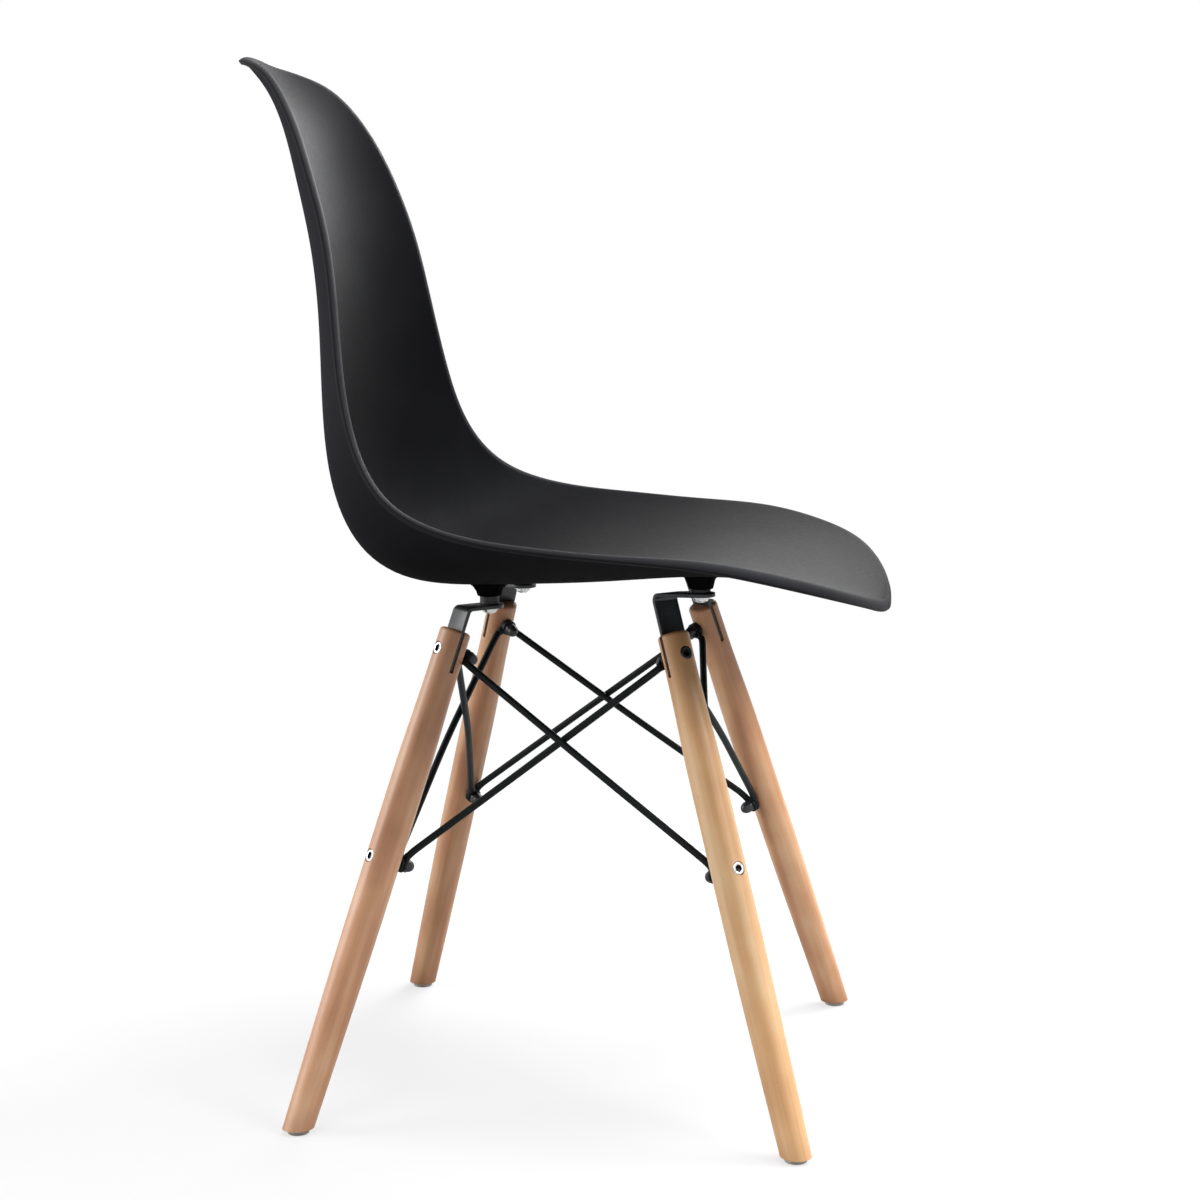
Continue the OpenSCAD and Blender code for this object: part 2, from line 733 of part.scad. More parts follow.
// One rod from the upper bolt of one leg to the lower bolt of the next.
// Rods of the two families lie in different layers and bow apart where they cross.
module brace(from, to, layer) {
    p = eye_place(from, upper_bolt_drop, layer);
    q = eye_place(to, lower_bolt_drop, layer);
    p_dir = tab_dir(from, p, q);
    q_dir = tab_dir(to, q, p);
    p_bend = p + tab_reach * p_dir - rod_lift * leg_dir(from, [1, 0, 0]);
    q_bend = q + tab_reach * q_dir - rod_lift * leg_dir(to, [1, 0, 0]);
    side = leg_angles[from] + leg_angles[to];
    side_angle = abs(leg_angles[from] - leg_angles[to]) > 180 ? 0 : side / 2;
    outward = [cos(side_angle), sin(side_angle), 0];
    mid = (p_bend + q_bend) / 2 + (layer == 0 ? bow : -bow) * outward;
    color(steel_black)
        translate([frame_x, 0, 0])
            difference() {
                union() {
                    tab(from, p, p_dir);
                    tab(to, q, q_dir);
                    bar(p_bend, mid, rod_d);
                    bar(mid, q_bend, rod_d);
                    for (c = [p_bend, mid, q_bend]) translate(c) sphere(d = rod_d + 0.2);
                }
                for (e = [[from, p], [to, q]])
                    let (face = leg_dir(e[0], [1, 0, 0]))
                        bar(e[1] - 5 * face, e[1] + 5 * face, bolt_d + 2 * hole_gap);
            }
}
bow = (rod_d + cross_gap) / 2;
// The round rod stands this much farther from the leg than the middle of its flattened end
rod_lift = 0.8;

module front_brace_a() { brace(3, 0, 0); }
module left_brace_a() { brace(0, 1, 0); }
module rear_brace_a() { brace(1, 2, 0); }
module right_brace_a() { brace(2, 3, 0); }
module front_brace_b() { brace(0, 3, 1); }
module left_brace_b() { brace(1, 0, 1); }
module rear_brace_b() { brace(2, 1, 1); }
module right_brace_b() { brace(3, 2, 1); }

seat_shell();
threaded_inserts();
boss_spacers();
seat_screws();
seat_washers();
front_left_bracket();
rear_left_bracket();
rear_right_bracket();
front_right_bracket();
front_left_leg();
rear_left_leg();
rear_right_leg();
front_right_leg();
front_left_glide();
rear_left_glide();
rear_right_glide();
front_right_glide();
glide_nails();
upper_leg_bolts();
lower_leg_bolts();
upper_cap_nuts();
lower_cap_nuts();
front_brace_a();
left_brace_a();
rear_brace_a();
right_brace_a();
front_brace_b();
left_brace_b();
rear_brace_b();
right_brace_b();
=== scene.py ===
"""Dresses a dining side chair: a moulded shell on leaning beech dowel legs with black steel braces.

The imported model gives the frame. Every piece is made in metres in that frame: X to the front of
the chair, Y to the sitter's left, Z up, with the origin on the floor under the chair's middle.
"""

import logging
import math
from collections.abc import Callable, Iterator
from contextlib import contextmanager
from dataclasses import dataclass, field
from enum import Enum

import bmesh
import bpy
import numpy as np
from bpy.types import ID, Material, Mesh, Node, NodeSocket, NodeTree, Object
from mathutils import Matrix, Vector


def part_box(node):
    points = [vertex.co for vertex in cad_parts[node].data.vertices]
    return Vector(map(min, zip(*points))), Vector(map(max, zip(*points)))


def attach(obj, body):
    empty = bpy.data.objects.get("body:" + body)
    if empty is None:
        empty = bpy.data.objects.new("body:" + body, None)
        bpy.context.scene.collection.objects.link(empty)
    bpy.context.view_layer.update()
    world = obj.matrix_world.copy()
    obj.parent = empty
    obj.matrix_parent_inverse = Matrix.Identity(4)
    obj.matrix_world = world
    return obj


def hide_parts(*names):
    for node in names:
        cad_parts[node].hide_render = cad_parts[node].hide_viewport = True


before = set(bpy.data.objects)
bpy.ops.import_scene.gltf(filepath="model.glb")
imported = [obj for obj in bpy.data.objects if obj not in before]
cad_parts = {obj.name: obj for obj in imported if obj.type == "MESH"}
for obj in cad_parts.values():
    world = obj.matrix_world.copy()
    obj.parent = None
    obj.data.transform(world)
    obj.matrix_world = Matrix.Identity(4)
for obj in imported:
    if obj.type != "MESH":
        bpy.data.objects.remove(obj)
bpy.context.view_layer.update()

LOG = logging.getLogger("chair")
MM = 0.001
QUARTER = math.pi / 2
BODY = "root"
# Width of the photograph in pixels, in which the camera's focal length is given
PHOTO_SIZE = 1200
# Clearance between pieces that are bolted on one another, in mm
GAP = 0.05
# Corners on each ring of a turned piece
SEGMENTS = 48
WHITE = (1.0, 1.0, 1.0, 1.0)
Rings = list[tuple[float, Callable[[float], float] | float]]
PathPoint = tuple[Vector, Vector, float, float, float]


def linear(code: str) -> tuple[float, float, float, float]:
    """Turns an sRGB hex colour into linear light.

    Args:
        code: colour as "#rrggbb".

    Returns:
        Red, green, blue and an alpha of 1.
    """
    parts = [int(code[i : i + 2], 16) / 255 for i in (1, 3, 5)]
    lit = [c / 12.92 if c <= 0.04045 else ((c + 0.055) / 1.055) ** 2.4 for c in parts]
    return (lit[0], lit[1], lit[2], 1.0)


def add(tree: NodeTree, kind: str, inputs: dict | None = None, stops: dict | None = None,
        **settings: object) -> Node:
    """Adds one node to a tree.

    Args:
        tree: tree that gets the node.
        kind: type name of the node.
        inputs: what each input gets, by name or place: a constant, a socket, or a node, which
            stands for its first output in use.
        stops: hex colour at each position of a colour ramp.
        settings: properties of the node itself.

    Returns:
        The new node.
    """
    node = tree.nodes.new(kind)
    for name, value in settings.items():
        setattr(node, name, value)
    for place, (position, colour) in enumerate((stops or {}).items()):
        elements = node.color_ramp.elements
        element = elements[place] if place < 2 else elements.new(position)
        element.position, element.color = position, linear(colour)
    for name, value in (inputs or {}).items():
        if isinstance(value, Node):
            value = next(socket for socket in value.outputs if socket.enabled)
        if isinstance(value, NodeSocket):
            tree.links.new(value, node.inputs[name])
        else:
            node.inputs[name].default_value = value
    return node


def emptied(owner: ID) -> NodeTree:
    """Clears the node tree of a material or world.

    Args:
        owner: the material or world.

    Returns:
        Its tree, with nothing in it.
    """
    owner.use_nodes = True
    owner.node_tree.nodes.clear()
    return owner.node_tree


class Corner(Enum):
    """One corner of the leg frame, in order round the chair from the front left."""

    FRONT_LEFT = 0
    REAR_LEFT = 1
    REAR_RIGHT = 2
    FRONT_RIGHT = 3

    @property
    def label(self) -> str:
        """Returns the corner's name as the nodes write it."""
        return self.name.lower()

    @property
    def angle(self) -> float:
        """Returns the direction of the corner from the chair's middle, in radians."""
        return math.radians(45 + 90 * self.value)


class Layer(Enum):
    """Place of a brace rod's flattened end: against the leg, or on the first rod."""

    INNER = "a"
    OUTER = "b"


class BoltRow(Enum):
    """One row of leg bolts: its distance below the leg top and the leg's radius there, in mm."""

    UPPER = (17.5, 12.2)
    LOWER = (185.0, 13.7)

    @property
    def drop(self) -> float:
        """Returns the distance below the leg top, along the leg."""
        return self.value[0]

    @property
    def side(self) -> float:
        """Returns the radius of the leg at the bolt."""
        return self.value[1]


class SeatMount(Enum):
    """One mirrored pair of places where the shell is bolted to the brackets.

    The values are its distances in front of the leg frame's middle and beside the centre plane,
    the height of the bracket's upper face, and the height of the spacer on it, in mm.
    """

    FRONT = (106, 80, 404.5, 3.0)
    REAR = (-63, 63, 391, 6.5)

    @property
    def boss_low(self) -> float:
        """Returns the height of the bosses' lower ends, which stand on the spacers."""
        return self.value[2] + self.value[3] + 2 * GAP


@dataclass(frozen=True)
class LegFrame:
    """Sizes of the square, splayed leg frame that every other piece is placed from."""

    top_spread: float = 170 * MM
    foot_spread: float = 381 * MM
    top_height: float = 373 * MM

    @property
    def middle_x(self) -> float:
        """Returns the frame's middle along X, read from the glides."""
        boxes = [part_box(corner.label + "_glide") for corner in Corner]
        return (min(b[0].x for b in boxes) + max(b[1].x for b in boxes)) / 2

    @property
    def lean(self) -> float:
        """Returns the angle between a leg and the upright, in radians."""
        return math.atan((self.foot_spread - self.top_spread) / math.sqrt(2) / self.top_height)

    def over(self, x: float, y: float) -> Matrix:
        """Returns the upright frame over a place given in mm from the leg frame's middle."""
        return Matrix.Translation((self.middle_x + x * MM, y * MM, 0))

    def upright(self, corner: Corner) -> Matrix:
        """Returns the upright frame of a corner: X outward, Z up from the floor."""
        return self.over(0, 0) @ Matrix.Rotation(corner.angle, 4, "Z")

    def along_leg(self, corner: Corner) -> Matrix:
        """Gives the frame of a leg.

        Args:
            corner: corner of the leg.

        Returns:
            Matrix with its origin at the middle of the leg top, Z up along the leg, X outward.
        """
        top = Matrix.Translation((self.top_spread / math.sqrt(2), 0, self.top_height))
        return self.upright(corner) @ top @ Matrix.Rotation(-self.lean, 4, "Y")

    def along_bolt(self, corner: Corner, row: BoltRow, turn: float) -> Matrix:
        """Gives the frame of a leg bolt.

        Args:
            corner: corner of the leg.
            row: upper or lower bolt.
            turn: a quarter turn for Z outward, or minus a quarter for Z inward.

        Returns:
            Matrix with its origin in the middle of the leg and Z along the bolt.
        """
        down = Matrix.Translation((0, 0, -row.drop * MM))
        return self.along_leg(corner) @ down @ Matrix.Rotation(turn, 4, "Y")


LEGS = LegFrame()


@dataclass(frozen=True)
class Finish:
    """A procedural material; each kind works out the inputs of its own shader."""

    name: str

    def make(self) -> Material:
        """Builds the material.

        Returns:
            The material, with its pattern on Object coordinates.
        """
        material = bpy.data.materials.new(self.name)
        tree = emptied(material)
        place = add(tree, "ShaderNodeTexCoord").outputs["Object"]
        shader = add(tree, "ShaderNodeBsdfPrincipled", self.inputs(tree, place))
        add(tree, "ShaderNodeOutputMaterial", {"Surface": shader})
        return material

    def inputs(self, tree: NodeTree, place: NodeSocket) -> dict[str, object]:
        """Returns what goes into each input of the shader, from the Object coordinates."""
        raise NotImplementedError


@dataclass(frozen=True)
class MouldedPolypropylene(Finish):
    """Black polypropylene from a spark-eroded mould: dull, with a fine even grain.

    The grain scatters the light, so that the plastic is near black face on and grey where it is
    seen edge on. The outer half of the mould is eroded more coarsely, so the outside and the
    underside, which the mesh marks with the attribute "under", are duller still. The rolled edge,
    marked with "rim", is painted a paler black, a painted highlight of the light that falls on it.
    The outside of the back is painted paler with height, as painted light, so that it is lighter
    than the belly of the seat.
    """

    name: str = "moulded_polypropylene"
    deep: str = "#050506"
    pale: str = "#0a0a0b"
    rim_painted_light: str = "#1e1e20"
    back_painted_light: str = "#262629"
    # Heights in metres between which the painted light on the outside of the back comes in
    back_light_from: float = 0.42
    back_light_full: float = 0.56
    sheen: str = "#e4eafb"
    roughness: float = 0.6
    dull: float = 0.4
    gloss: float = 0.035
    grain_mm: float = 0.9
    flow_mm: float = 70.0

    def inputs(self, tree: NodeTree, place: NodeSocket) -> dict[str, object]:
        """Gives the shader's inputs.

        Args:
            tree: tree of the material.
            place: Object coordinates.

        Returns:
            What goes into each input. The grain is 0.3 mm on the real shell and drawn three
            times as coarse, because the real one is too fine to show.
        """
        flow, grain, coarse = [
            add(tree, "ShaderNodeTexNoise",
                {"Vector": place, "Scale": 1 / (size * MM), "Detail": detail, "Roughness": rough})
            for size, detail, rough in ((self.flow_mm, 3.0, 0.5), (self.grain_mm, 2.0, 0.6),
                                        (4 * self.grain_mm, 3.0, 0.5))]
        rim, under = [add(tree, "ShaderNodeAttribute", attribute_name=name).outputs["Fac"]
                      for name in ("rim", "under")]
        tone = add(tree, "ShaderNodeValToRGB", {"Fac": flow}, {0.35: self.deep, 0.68: self.pale})
        # The rolled edge, marked "rim", gets a painted highlight: a paler black
        body = add(tree, "ShaderNodeMix", {0: rim, 6: tone, 7: linear(self.rim_painted_light)},
                   data_type="RGBA")
        # The outside of the back, marked "under", gets painted light that grows with height
        height = add(tree, "ShaderNodeSeparateXYZ", {"Vector": place}).outputs["Z"]
        upright = add(tree, "ShaderNodeMapRange", {
            "Value": height, "From Min": self.back_light_from, "From Max": self.back_light_full})
        back_light_share = add(tree, "ShaderNodeMath", {0: under, 1: upright}, operation="MULTIPLY")
        wear_and_painted_light = add(tree, "ShaderNodeMix", {0: back_light_share, 6: body, 7: linear(self.back_painted_light)},
                   data_type="RGBA")
        rough = add(tree, "ShaderNodeMapRange", {
            "Value": coarse, "To Min": self.roughness - 0.06, "To Max": self.roughness + 0.07})
        dulled = add(tree, "ShaderNodeMath", {0: under, 1: self.dull, 2: rough},
                     operation="MULTIPLY_ADD")
        fine = add(tree, "ShaderNodeBump", {"Height": grain, "Strength": 0.2, "Distance": 0.0001})
        bump = add(tree, "ShaderNodeBump", {"Height": coarse, "Normal": fine, "Strength": 0.12,
                                            "Distance": 0.0002})
        return {"Base Color": wear_and_painted_light, "Roughness": dulled, "Normal": bump, "IOR": 1.49,
                "Specular Tint": linear(self.sheen), "Specular IOR Level": self.gloss}


@dataclass(frozen=True)
class PowderCoat(Finish):
    """Satin black powder coat on mild steel: a cool black with a shallow orange-peel skin."""

    name: str = "black_powder_coat"
    body: str = "#14181b"
    wear_and_painted_light: str = "#23292c"
    roughness: float = 0.36
    gloss: float = 0.5
    peel_mm: float = 1.4
    patch_mm: float = 14.0

    def inputs(self, tree: NodeTree, place: NodeSocket) -> dict[str, object]:
        """Gives the shader's inputs.

        Args:
            tree: tree of the material.
            place: Object coordinates.

        Returns:
            What goes into each input.
        """
        peel, patch = [
            add(tree, "ShaderNodeTexNoise",
                {"Vector": place, "Scale": 1 / (size * MM), "Detail": detail})
            for size, detail in ((self.peel_mm, 1.5), (self.patch_mm, 4.0))]
        tone = add(tree, "ShaderNodeValToRGB", {"Fac": patch}, {0.4: self.body, 0.72: self.wear_and_painted_light})
        rough = add(tree, "ShaderNodeMapRange", {
            "Value": patch, "To Min": self.roughness - 0.05, "To Max": self.roughness + 0.1})
        bump = add(tree, "ShaderNodeBump", {"Height": peel, "Strength": 0.35, "Distance": 0.0001})
        return {"Base Color": tone, "Roughness": rough, "Normal": bump, "IOR": 1.5,
                "Specular IOR Level": self.gloss}


@dataclass(frozen=True)
class LacqueredBeech(Finish):
    """Steamed beech, turned to a taper and sealed with clear satin lacquer.

    To the eye it is smooth and nearly plain. Soft pale and warm bands run along the dowel, with
    very fine pores, a few short brown ray flecks, and darker ends: the lacquer has darkened the
    foot, and the top is darkened partly by the lacquer and partly by painted shade of the seat
    above it. The whole pattern is solid, so that the growth rings cross the end of the dowel as
    arcs.
    """

    corner: Corner
    pale: str = "#e3bd90"
    warm: str = "#cf9d6e"
    dark: str = "#a9744a"
    shift_mm: float = 0.0
    fleck: str = "#8a5c3a"
    band_mm: float = 13.0
    streak_mm: float = 3.2
    ring_mm: float = 4.2
    pore_mm: float = 0.55
    fleck_mm: float = 1.0
    length_mm: float = 401.0
    heart_mm: tuple[float, float, float] = (34, 15, 0)

    def inputs(self, tree: NodeTree, place: NodeSocket) -> dict[str, object]:
        """Gives the shader's inputs.

        Args:
            tree: tree of the material.
            place: Object coordinates.

        Returns:
            What goes into each input, from the frame of the leg itself and in millimetres. Beech
            pores are 0.1 mm wide and drawn five times as coarse, because the real ones are too
            fine to show.
        """
        leg = LEGS.along_leg(self.corner)
        local = add(tree, "ShaderNodeMapping", {
            "Vector": place, "Location": leg.translation, "Rotation": leg.to_euler(),
            "Scale": (MM, MM, MM)}, vector_type="TEXTURE")
        shift = (self.shift_mm, 0.6 * self.shift_mm, 9 * self.shift_mm)
        moved = add(tree, "ShaderNodeVectorMath", {0: local, 1: shift}, operation="ADD")
        # Each pattern has its size across the grain, and is drawn out along it by a share
        found = []
        for size, detail, share in ((self.band_mm, 1.0, 0.07), (3 * self.band_mm, 2.0, 0.7),
                                    (self.streak_mm, 2.0, 0.02), (self.pore_mm, 2.0, 0.05),
                                    (self.fleck_mm, 1.0, 0.3)):
            drawn = add(tree, "ShaderNodeVectorMath", {0: moved, 1: (1, 1, share)},
                        operation="MULTIPLY")
            found.append(add(tree, "ShaderNodeTexNoise",
                             {"Vector": drawn, "Scale": 1 / size, "Detail": detail}))
        bands, blotches, streaks, pores, specks = found
        flat = add(tree, "ShaderNodeVectorMath", {0: moved, 1: (1, 1, 0)}, operation="MULTIPLY")
        off_heart = add(tree, "ShaderNodeVectorMath", {0: flat, 1: self.heart_mm}, operation="ADD")
        reach = add(tree, "ShaderNodeVectorMath", {0: off_heart}, operation="LENGTH")
        wander = add(tree, "ShaderNodeMath", {0: bands, 1: 2.5 * self.band_mm, 2: reach},
                     operation="MULTIPLY_ADD")
        turns = add(tree, "ShaderNodeMath", {0: wander, 1: 2 * math.pi / self.ring_mm},
                    operation="MULTIPLY")
        rings = add(tree, "ShaderNodeMath", {0: turns}, operation="SINE")
        # The tone is the sum of the patterns, each by its share
        tone: Node | float = 0.0
        for part, share in ((bands, 0.5), (blotches, 0.36), (streaks, 0.13), (pores, 0.05),
                            (rings, 0.006)):
            tone = add(tree, "ShaderNodeMath", {0: part, 1: share, 2: tone},
                       operation="MULTIPLY_ADD")
        wood = add(tree, "ShaderNodeValToRGB", {"Fac": tone},
                   {0.37: self.pale, 0.53: self.warm, 0.72: self.dark})
        marks = add(tree, "ShaderNodeMapRange", {"Value": specks, "From Min": 0.72,
                                                 "From Max": 0.8, "To Max": 0.4})
        flecked = add(tree, "ShaderNodeMix", {0: marks, 6: wood, 7: linear(self.fleck)},
                      data_type="RGBA")
        # Towards both ends the wood darkens, from one height in mm under the leg top to the next.
        # At the top this is partly a stain of the lacquer and partly painted shade of the seat
        # above.
        height = add(tree, "ShaderNodeSeparateXYZ", {"Vector": local}).outputs["Z"]
        top, foot = [
            add(tree, "ShaderNodeMapRange", {"Value": height, "From Min": start, "From Max": end,
                                             "To Max": share}, interpolation_type="SMOOTHSTEP")
            for start, end, share in ((-62.0, -2.0, 0.6),
                                      (26.0 - self.length_mm, 1.0 - self.length_mm, 0.4))]
        ends = add(tree, "ShaderNodeMath", {0: top, 1: foot}, operation="MAXIMUM")
        body = add(tree, "ShaderNodeMix", {0: ends, 6: flecked, 7: linear(self.dark)},
                   data_type="RGBA")
        rough = add(tree, "ShaderNodeMapRange", {"Value": streaks, "To Min": 0.4, "To Max": 0.56})
        bump = add(tree, "ShaderNodeBump", {"Height": pores, "Strength": 0.2, "Distance": 0.0001})
        return {"Base Color": body, "Roughness": rough, "Normal": bump, "IOR": 1.5,
                "Coat Weight": 0.2, "Coat Roughness": 0.35}


@dataclass(frozen=True)
class PlatedSteel(Finish):
    """Machined steel with a thin bright plating: soft mirror glints with a cloudy film.

    Its key holes, which a mesh marks with the attribute "recess", are darker: partly grease and
    dust, partly painted shade in their depth.
    """

    name: str = "bright_zinc_plate"
    body: str = "#d6d7d6"
    cloudy: str = "#b4b7b8"
    roughness: float = 0.24
    hole: str = "#17191a"
    cloud_mm: float = 2.5

    def inputs(self, tree: NodeTree, place: NodeSocket) -> dict[str, object]:
        """Gives the shader's inputs.

        Args:
            tree: tree of the material.
            place: Object coordinates.

        Returns:
            What goes into each input.
        """
        cloud = add(tree, "ShaderNodeTexNoise",
                    {"Vector": place, "Scale": 1 / (self.cloud_mm * MM), "Detail": 4.0})
        tone = add(tree, "ShaderNodeValToRGB", {"Fac": cloud}, {0.4: self.body, 0.7: self.cloudy})
        # The key hole is darker: partly grease and dust, partly painted shade in its depth
        recess = add(tree, "ShaderNodeAttribute", attribute_name="recess").outputs["Fac"]
        body = add(tree, "ShaderNodeMix", {0: recess, 6: tone, 7: linear(self.hole)},
                   data_type="RGBA")
        rough = add(tree, "ShaderNodeMapRange", {
            "Value": cloud, "To Min": self.roughness - 0.05, "To Max": self.roughness + 0.12})
        bump = add(tree, "ShaderNodeBump", {"Height": cloud, "Strength": 0.2, "Distance": 0.00003})
        return {"Base Color": body, "Roughness": rough, "Normal": bump, "Metallic": 1.0}


@dataclass(frozen=True)
class PlainPlastic(Finish):
    """Small injection-moulded plastic piece: even colour with a faint skin."""

    body: str
    shade: str
    roughness: float
    skin_mm: float = 1.0

    def inputs(self, tree: NodeTree, place: NodeSocket) -> dict[str, object]:
        """Gives the shader's inputs.

        Args:
            tree: tree of the material.
            place: Object coordinates.

        Returns:
            What goes into each input.
        """
        skin = add(tree, "ShaderNodeTexNoise",
                   {"Vector": place, "Scale": 1 / (self.skin_mm * MM), "Detail": 3.0})
        tone = add(tree, "ShaderNodeValToRGB", {"Fac": skin}, {0.35: self.body, 0.75: self.shade})
        bump = add(tree, "ShaderNodeBump", {"Height": skin, "Strength": 0.25, "Distance": 0.00008})
        return {"Base Color": tone, "Normal": bump, "Roughness": self.roughness, "IOR": 1.5}


def show(name: str, data: ID) -> Object:
    """Puts new object data into the scene.

    Args:
        name: name of the object.
        data: its mesh, lamp or camera.

    Returns:
        The object, at the origin.
    """
    thing = bpy.data.objects.new(name, data)
    bpy.context.scene.collection.objects.link(thing)
    return thing


def smooth(mesh: Mesh, crisp: float) -> None:
    """Shades a mesh smooth, but for the edges sharper than an angle in degrees."""
    mesh.polygons.foreach_set("use_smooth", [True] * len(mesh.polygons))
    mesh.set_sharp_from_angle(angle=math.radians(crisp))


def mark(mesh: Mesh, name: str, first: int, end: int) -> None:
    """Gives an attribute of 1 to a run of points and 0 to the others, for a material to read."""
    values = [float(first <= k < end) for k in range(len(mesh.vertices))]
    mesh.attributes.new(name, "FLOAT", "POINT").data.foreach_set("value", values)


def paint(piece: Object, finish: Material) -> None:
    """Gives an object one material on all its faces.

    Args:
        piece: the object.
        finish: the material.
    """
    if not piece.material_slots:
        piece.data.materials.append(finish)
    for place in piece.material_slots:
        place.material = finish


@contextmanager
def opened(mesh: Mesh) -> Iterator[bmesh.types.BMesh]:
    """Opens a mesh for changes and writes them back.

    Args:
        mesh: the mesh.

    Yields:
        Its editable copy.
    """
    work = bmesh.new()
    work.from_mesh(mesh)
    yield work
    work.to_mesh(mesh)
    work.free()


def mesh_object(name: str, points: list, faces: list, crisp: float = 35.0) -> Object:
    """Makes a mesh object in the scene.

    Args:
        name: name of the object.
        points: corner places in metres.
        faces: lists of corner numbers.
        crisp: edges sharper than this, in degrees, stay crisp.

    Returns:
        The object, at the origin.
    """
    mesh = bpy.data.meshes.new(name)
    mesh.from_pydata([tuple(p) for p in points], [], [tuple(f) for f in faces])
    mesh.validate()
    smooth(mesh, crisp)
    return show(name, mesh)


def turned(name: str, rings: Rings, place: Matrix) -> Object:
    """Makes a closed piece from rings round its own Z axis.

    Args:
        name: name of the object.
        rings: height and radius of each ring in millimetres, from one pole or bore edge round
            the outside to the other. A radius can be a function of the angle, and 0 is a pole.
        place: matrix that puts the piece where it belongs, in metres.

    Returns:
        The object, closed and with its faces outward.
    """
    points: list[Vector] = []
    ids: list[list[int]] = []
    for height, radius in rings:
        if radius == 0:
            ids.append([len(points)] * SEGMENTS)
            points.append(Vector((0, 0, height)))
            continue
        ids.append(list(range(len(points), len(points) + SEGMENTS)))
        for k in range(SEGMENTS):
            angle = 2 * math.pi * k / SEGMENTS
            r = radius(angle) if callable(radius) else radius
            points.append(Vector((r * math.cos(angle), r * math.sin(angle), height)))
    has_pole = rings[0][1] == 0
    faces = []
    for low, high in zip(ids, ids[1:] if has_pole else ids[1:] + ids[:1]):
        for k in range(SEGMENTS):
            n = (k + 1) % SEGMENTS
            corners = list(dict.fromkeys([low[k], low[n], high[n], high[k]]))
            if len(corners) > 2:
                faces.append(corners)
    piece = mesh_object(name, [place @ (p * MM) for p in points], faces)
    with opened(piece.data) as work:
        bmesh.ops.recalc_face_normals(work, faces=work.faces)
    return piece


def hexagon(width: float, limit: float = math.inf) -> Callable[[float], float]:
    """Gives the outline of a hexagon.

    Args:
        width: size across the flats in millimetres.
        limit: radius that cuts its corners, as a turned chamfer does.

    Returns:
        Function from angle to radius.
    """
    sixth = math.pi / 3
    return lambda angle: min(width / 2 / math.cos(angle % sixth - sixth / 2), limit)


def bush(start: float, end: float, bore: float, outside: float, chamfer: float) -> Rings:
    """Gives the rings of a spacer, washer or insert.

    Args:
        start: height of its first face.
        end: height of its other face.
        bore: radius of its hole.
        outside: radius of its outside.
        chamfer: size of the chamfer at both faces.

    Returns:
        Rings for a turned piece, in millimetres.
    """
    step, small = math.copysign(chamfer, end - start), outside - chamfer
    return [(start, bore), (start, small), (start + step, outside), (end - step, outside),
            (end, small), (end, bore)]


def plate(name: str, outline: list[tuple[float, float]], thickness: float, place: Matrix,
          soften: float) -> Object:
    """Makes a flat plate that stands upright, with softened edges.

    Args:
        name: name of the object.
        outline: corners as distance along X and height, in millimetres.
        thickness: thickness along Y.
        place: matrix that puts the plate where it belongs.
        soften: width of the edge bevel in millimetres.

    Returns:
        The object.
    """
    count = len(outline)
    points = [place @ (Vector((x, side * thickness / 2, z)) * MM)
              for side in (-1, 1) for x, z in outline]
    faces = [tuple(range(count)), tuple(range(2 * count - 1, count - 1, -1))]
    faces += [(k, count + k, count + (k + 1) % count, (k + 1) % count) for k in range(count)]
    piece = mesh_object(name, points, faces)
    with opened(piece.data) as work:
        bmesh.ops.recalc_face_normals(work, faces=work.faces)
        bmesh.ops.bevel(work, geom=list(work.edges), offset=soften * MM, segments=2, profile=0.5,
                        affect="EDGES", clamp_overlap=True)
    smooth(piece.data, 40)
    return piece


def report(piece: Object, slot: str, *nodes: str) -> None:
    """Ties a finished piece to the body, hides the nodes that it stands for and logs its face
    count.

    Args:
        piece: the piece.
        slot: not used.
        nodes: nodes that it replaces.
    """
    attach(piece, BODY)
    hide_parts(*nodes)
    LOG.info("%s: %d faces", piece.name, len(piece.data.polygons))


class PieceTree:
    """A Geometry Nodes tree that turns the mesh of a piece into its final, painted mesh."""

    def __init__(self, name: str, sockets: dict[str, str]) -> None:
        """Starts the tree.

        Args:
            name: name of the tree.
            sockets: name and kind of each input between the geometry and the finish.
        """
        self.tree = bpy.data.node_groups.new(name, "GeometryNodeTree")
        face = self.tree.interface
        for label, kind in ({"Geometry": "Geometry"} | sockets | {"Finish": "Material"}).items():
            face.new_socket(label, in_out="INPUT", socket_type="NodeSocket" + kind)
        face.new_socket("Geometry", in_out="OUTPUT", socket_type="NodeSocketGeometry")
        self.given = add(self.tree, "NodeGroupInput").outputs

    def close(self, geometry: Node) -> None:
        """Makes all geometry real, paints it and ends the tree.

        Args:
            geometry: node that gives the finished geometry.
        """
        real = add(self.tree, "GeometryNodeRealizeInstances", {"Geometry": geometry})
        painted = add(self.tree, "GeometryNodeSetMaterial",
                      {"Geometry": real, "Material": self.given["Finish"]})
        add(self.tree, "NodeGroupOutput", {"Geometry": painted})

    def run(self, piece: Object, inputs: dict[str, object]) -> None:
        """Runs the tree on a piece and keeps the result as its mesh.

        Args:
            piece: object whose mesh the tree starts from.
            inputs: value of each named input.
        """
        modifier = piece.modifiers.new(self.tree.name, "NODES")
        modifier.node_group = self.tree
        for item in self.tree.interface.items_tree:
            if item.item_type == "SOCKET" and item.in_out == "INPUT" and item.name in inputs:
                modifier[item.identifier] = inputs[item.name]
        bpy.context.view_layer.update()
        final = piece.evaluated_get(bpy.context.evaluated_depsgraph_get())
        result = bpy.data.meshes.new_from_object(final)
        piece.modifiers.remove(modifier)
        result.name = piece.name
        piece.data = result


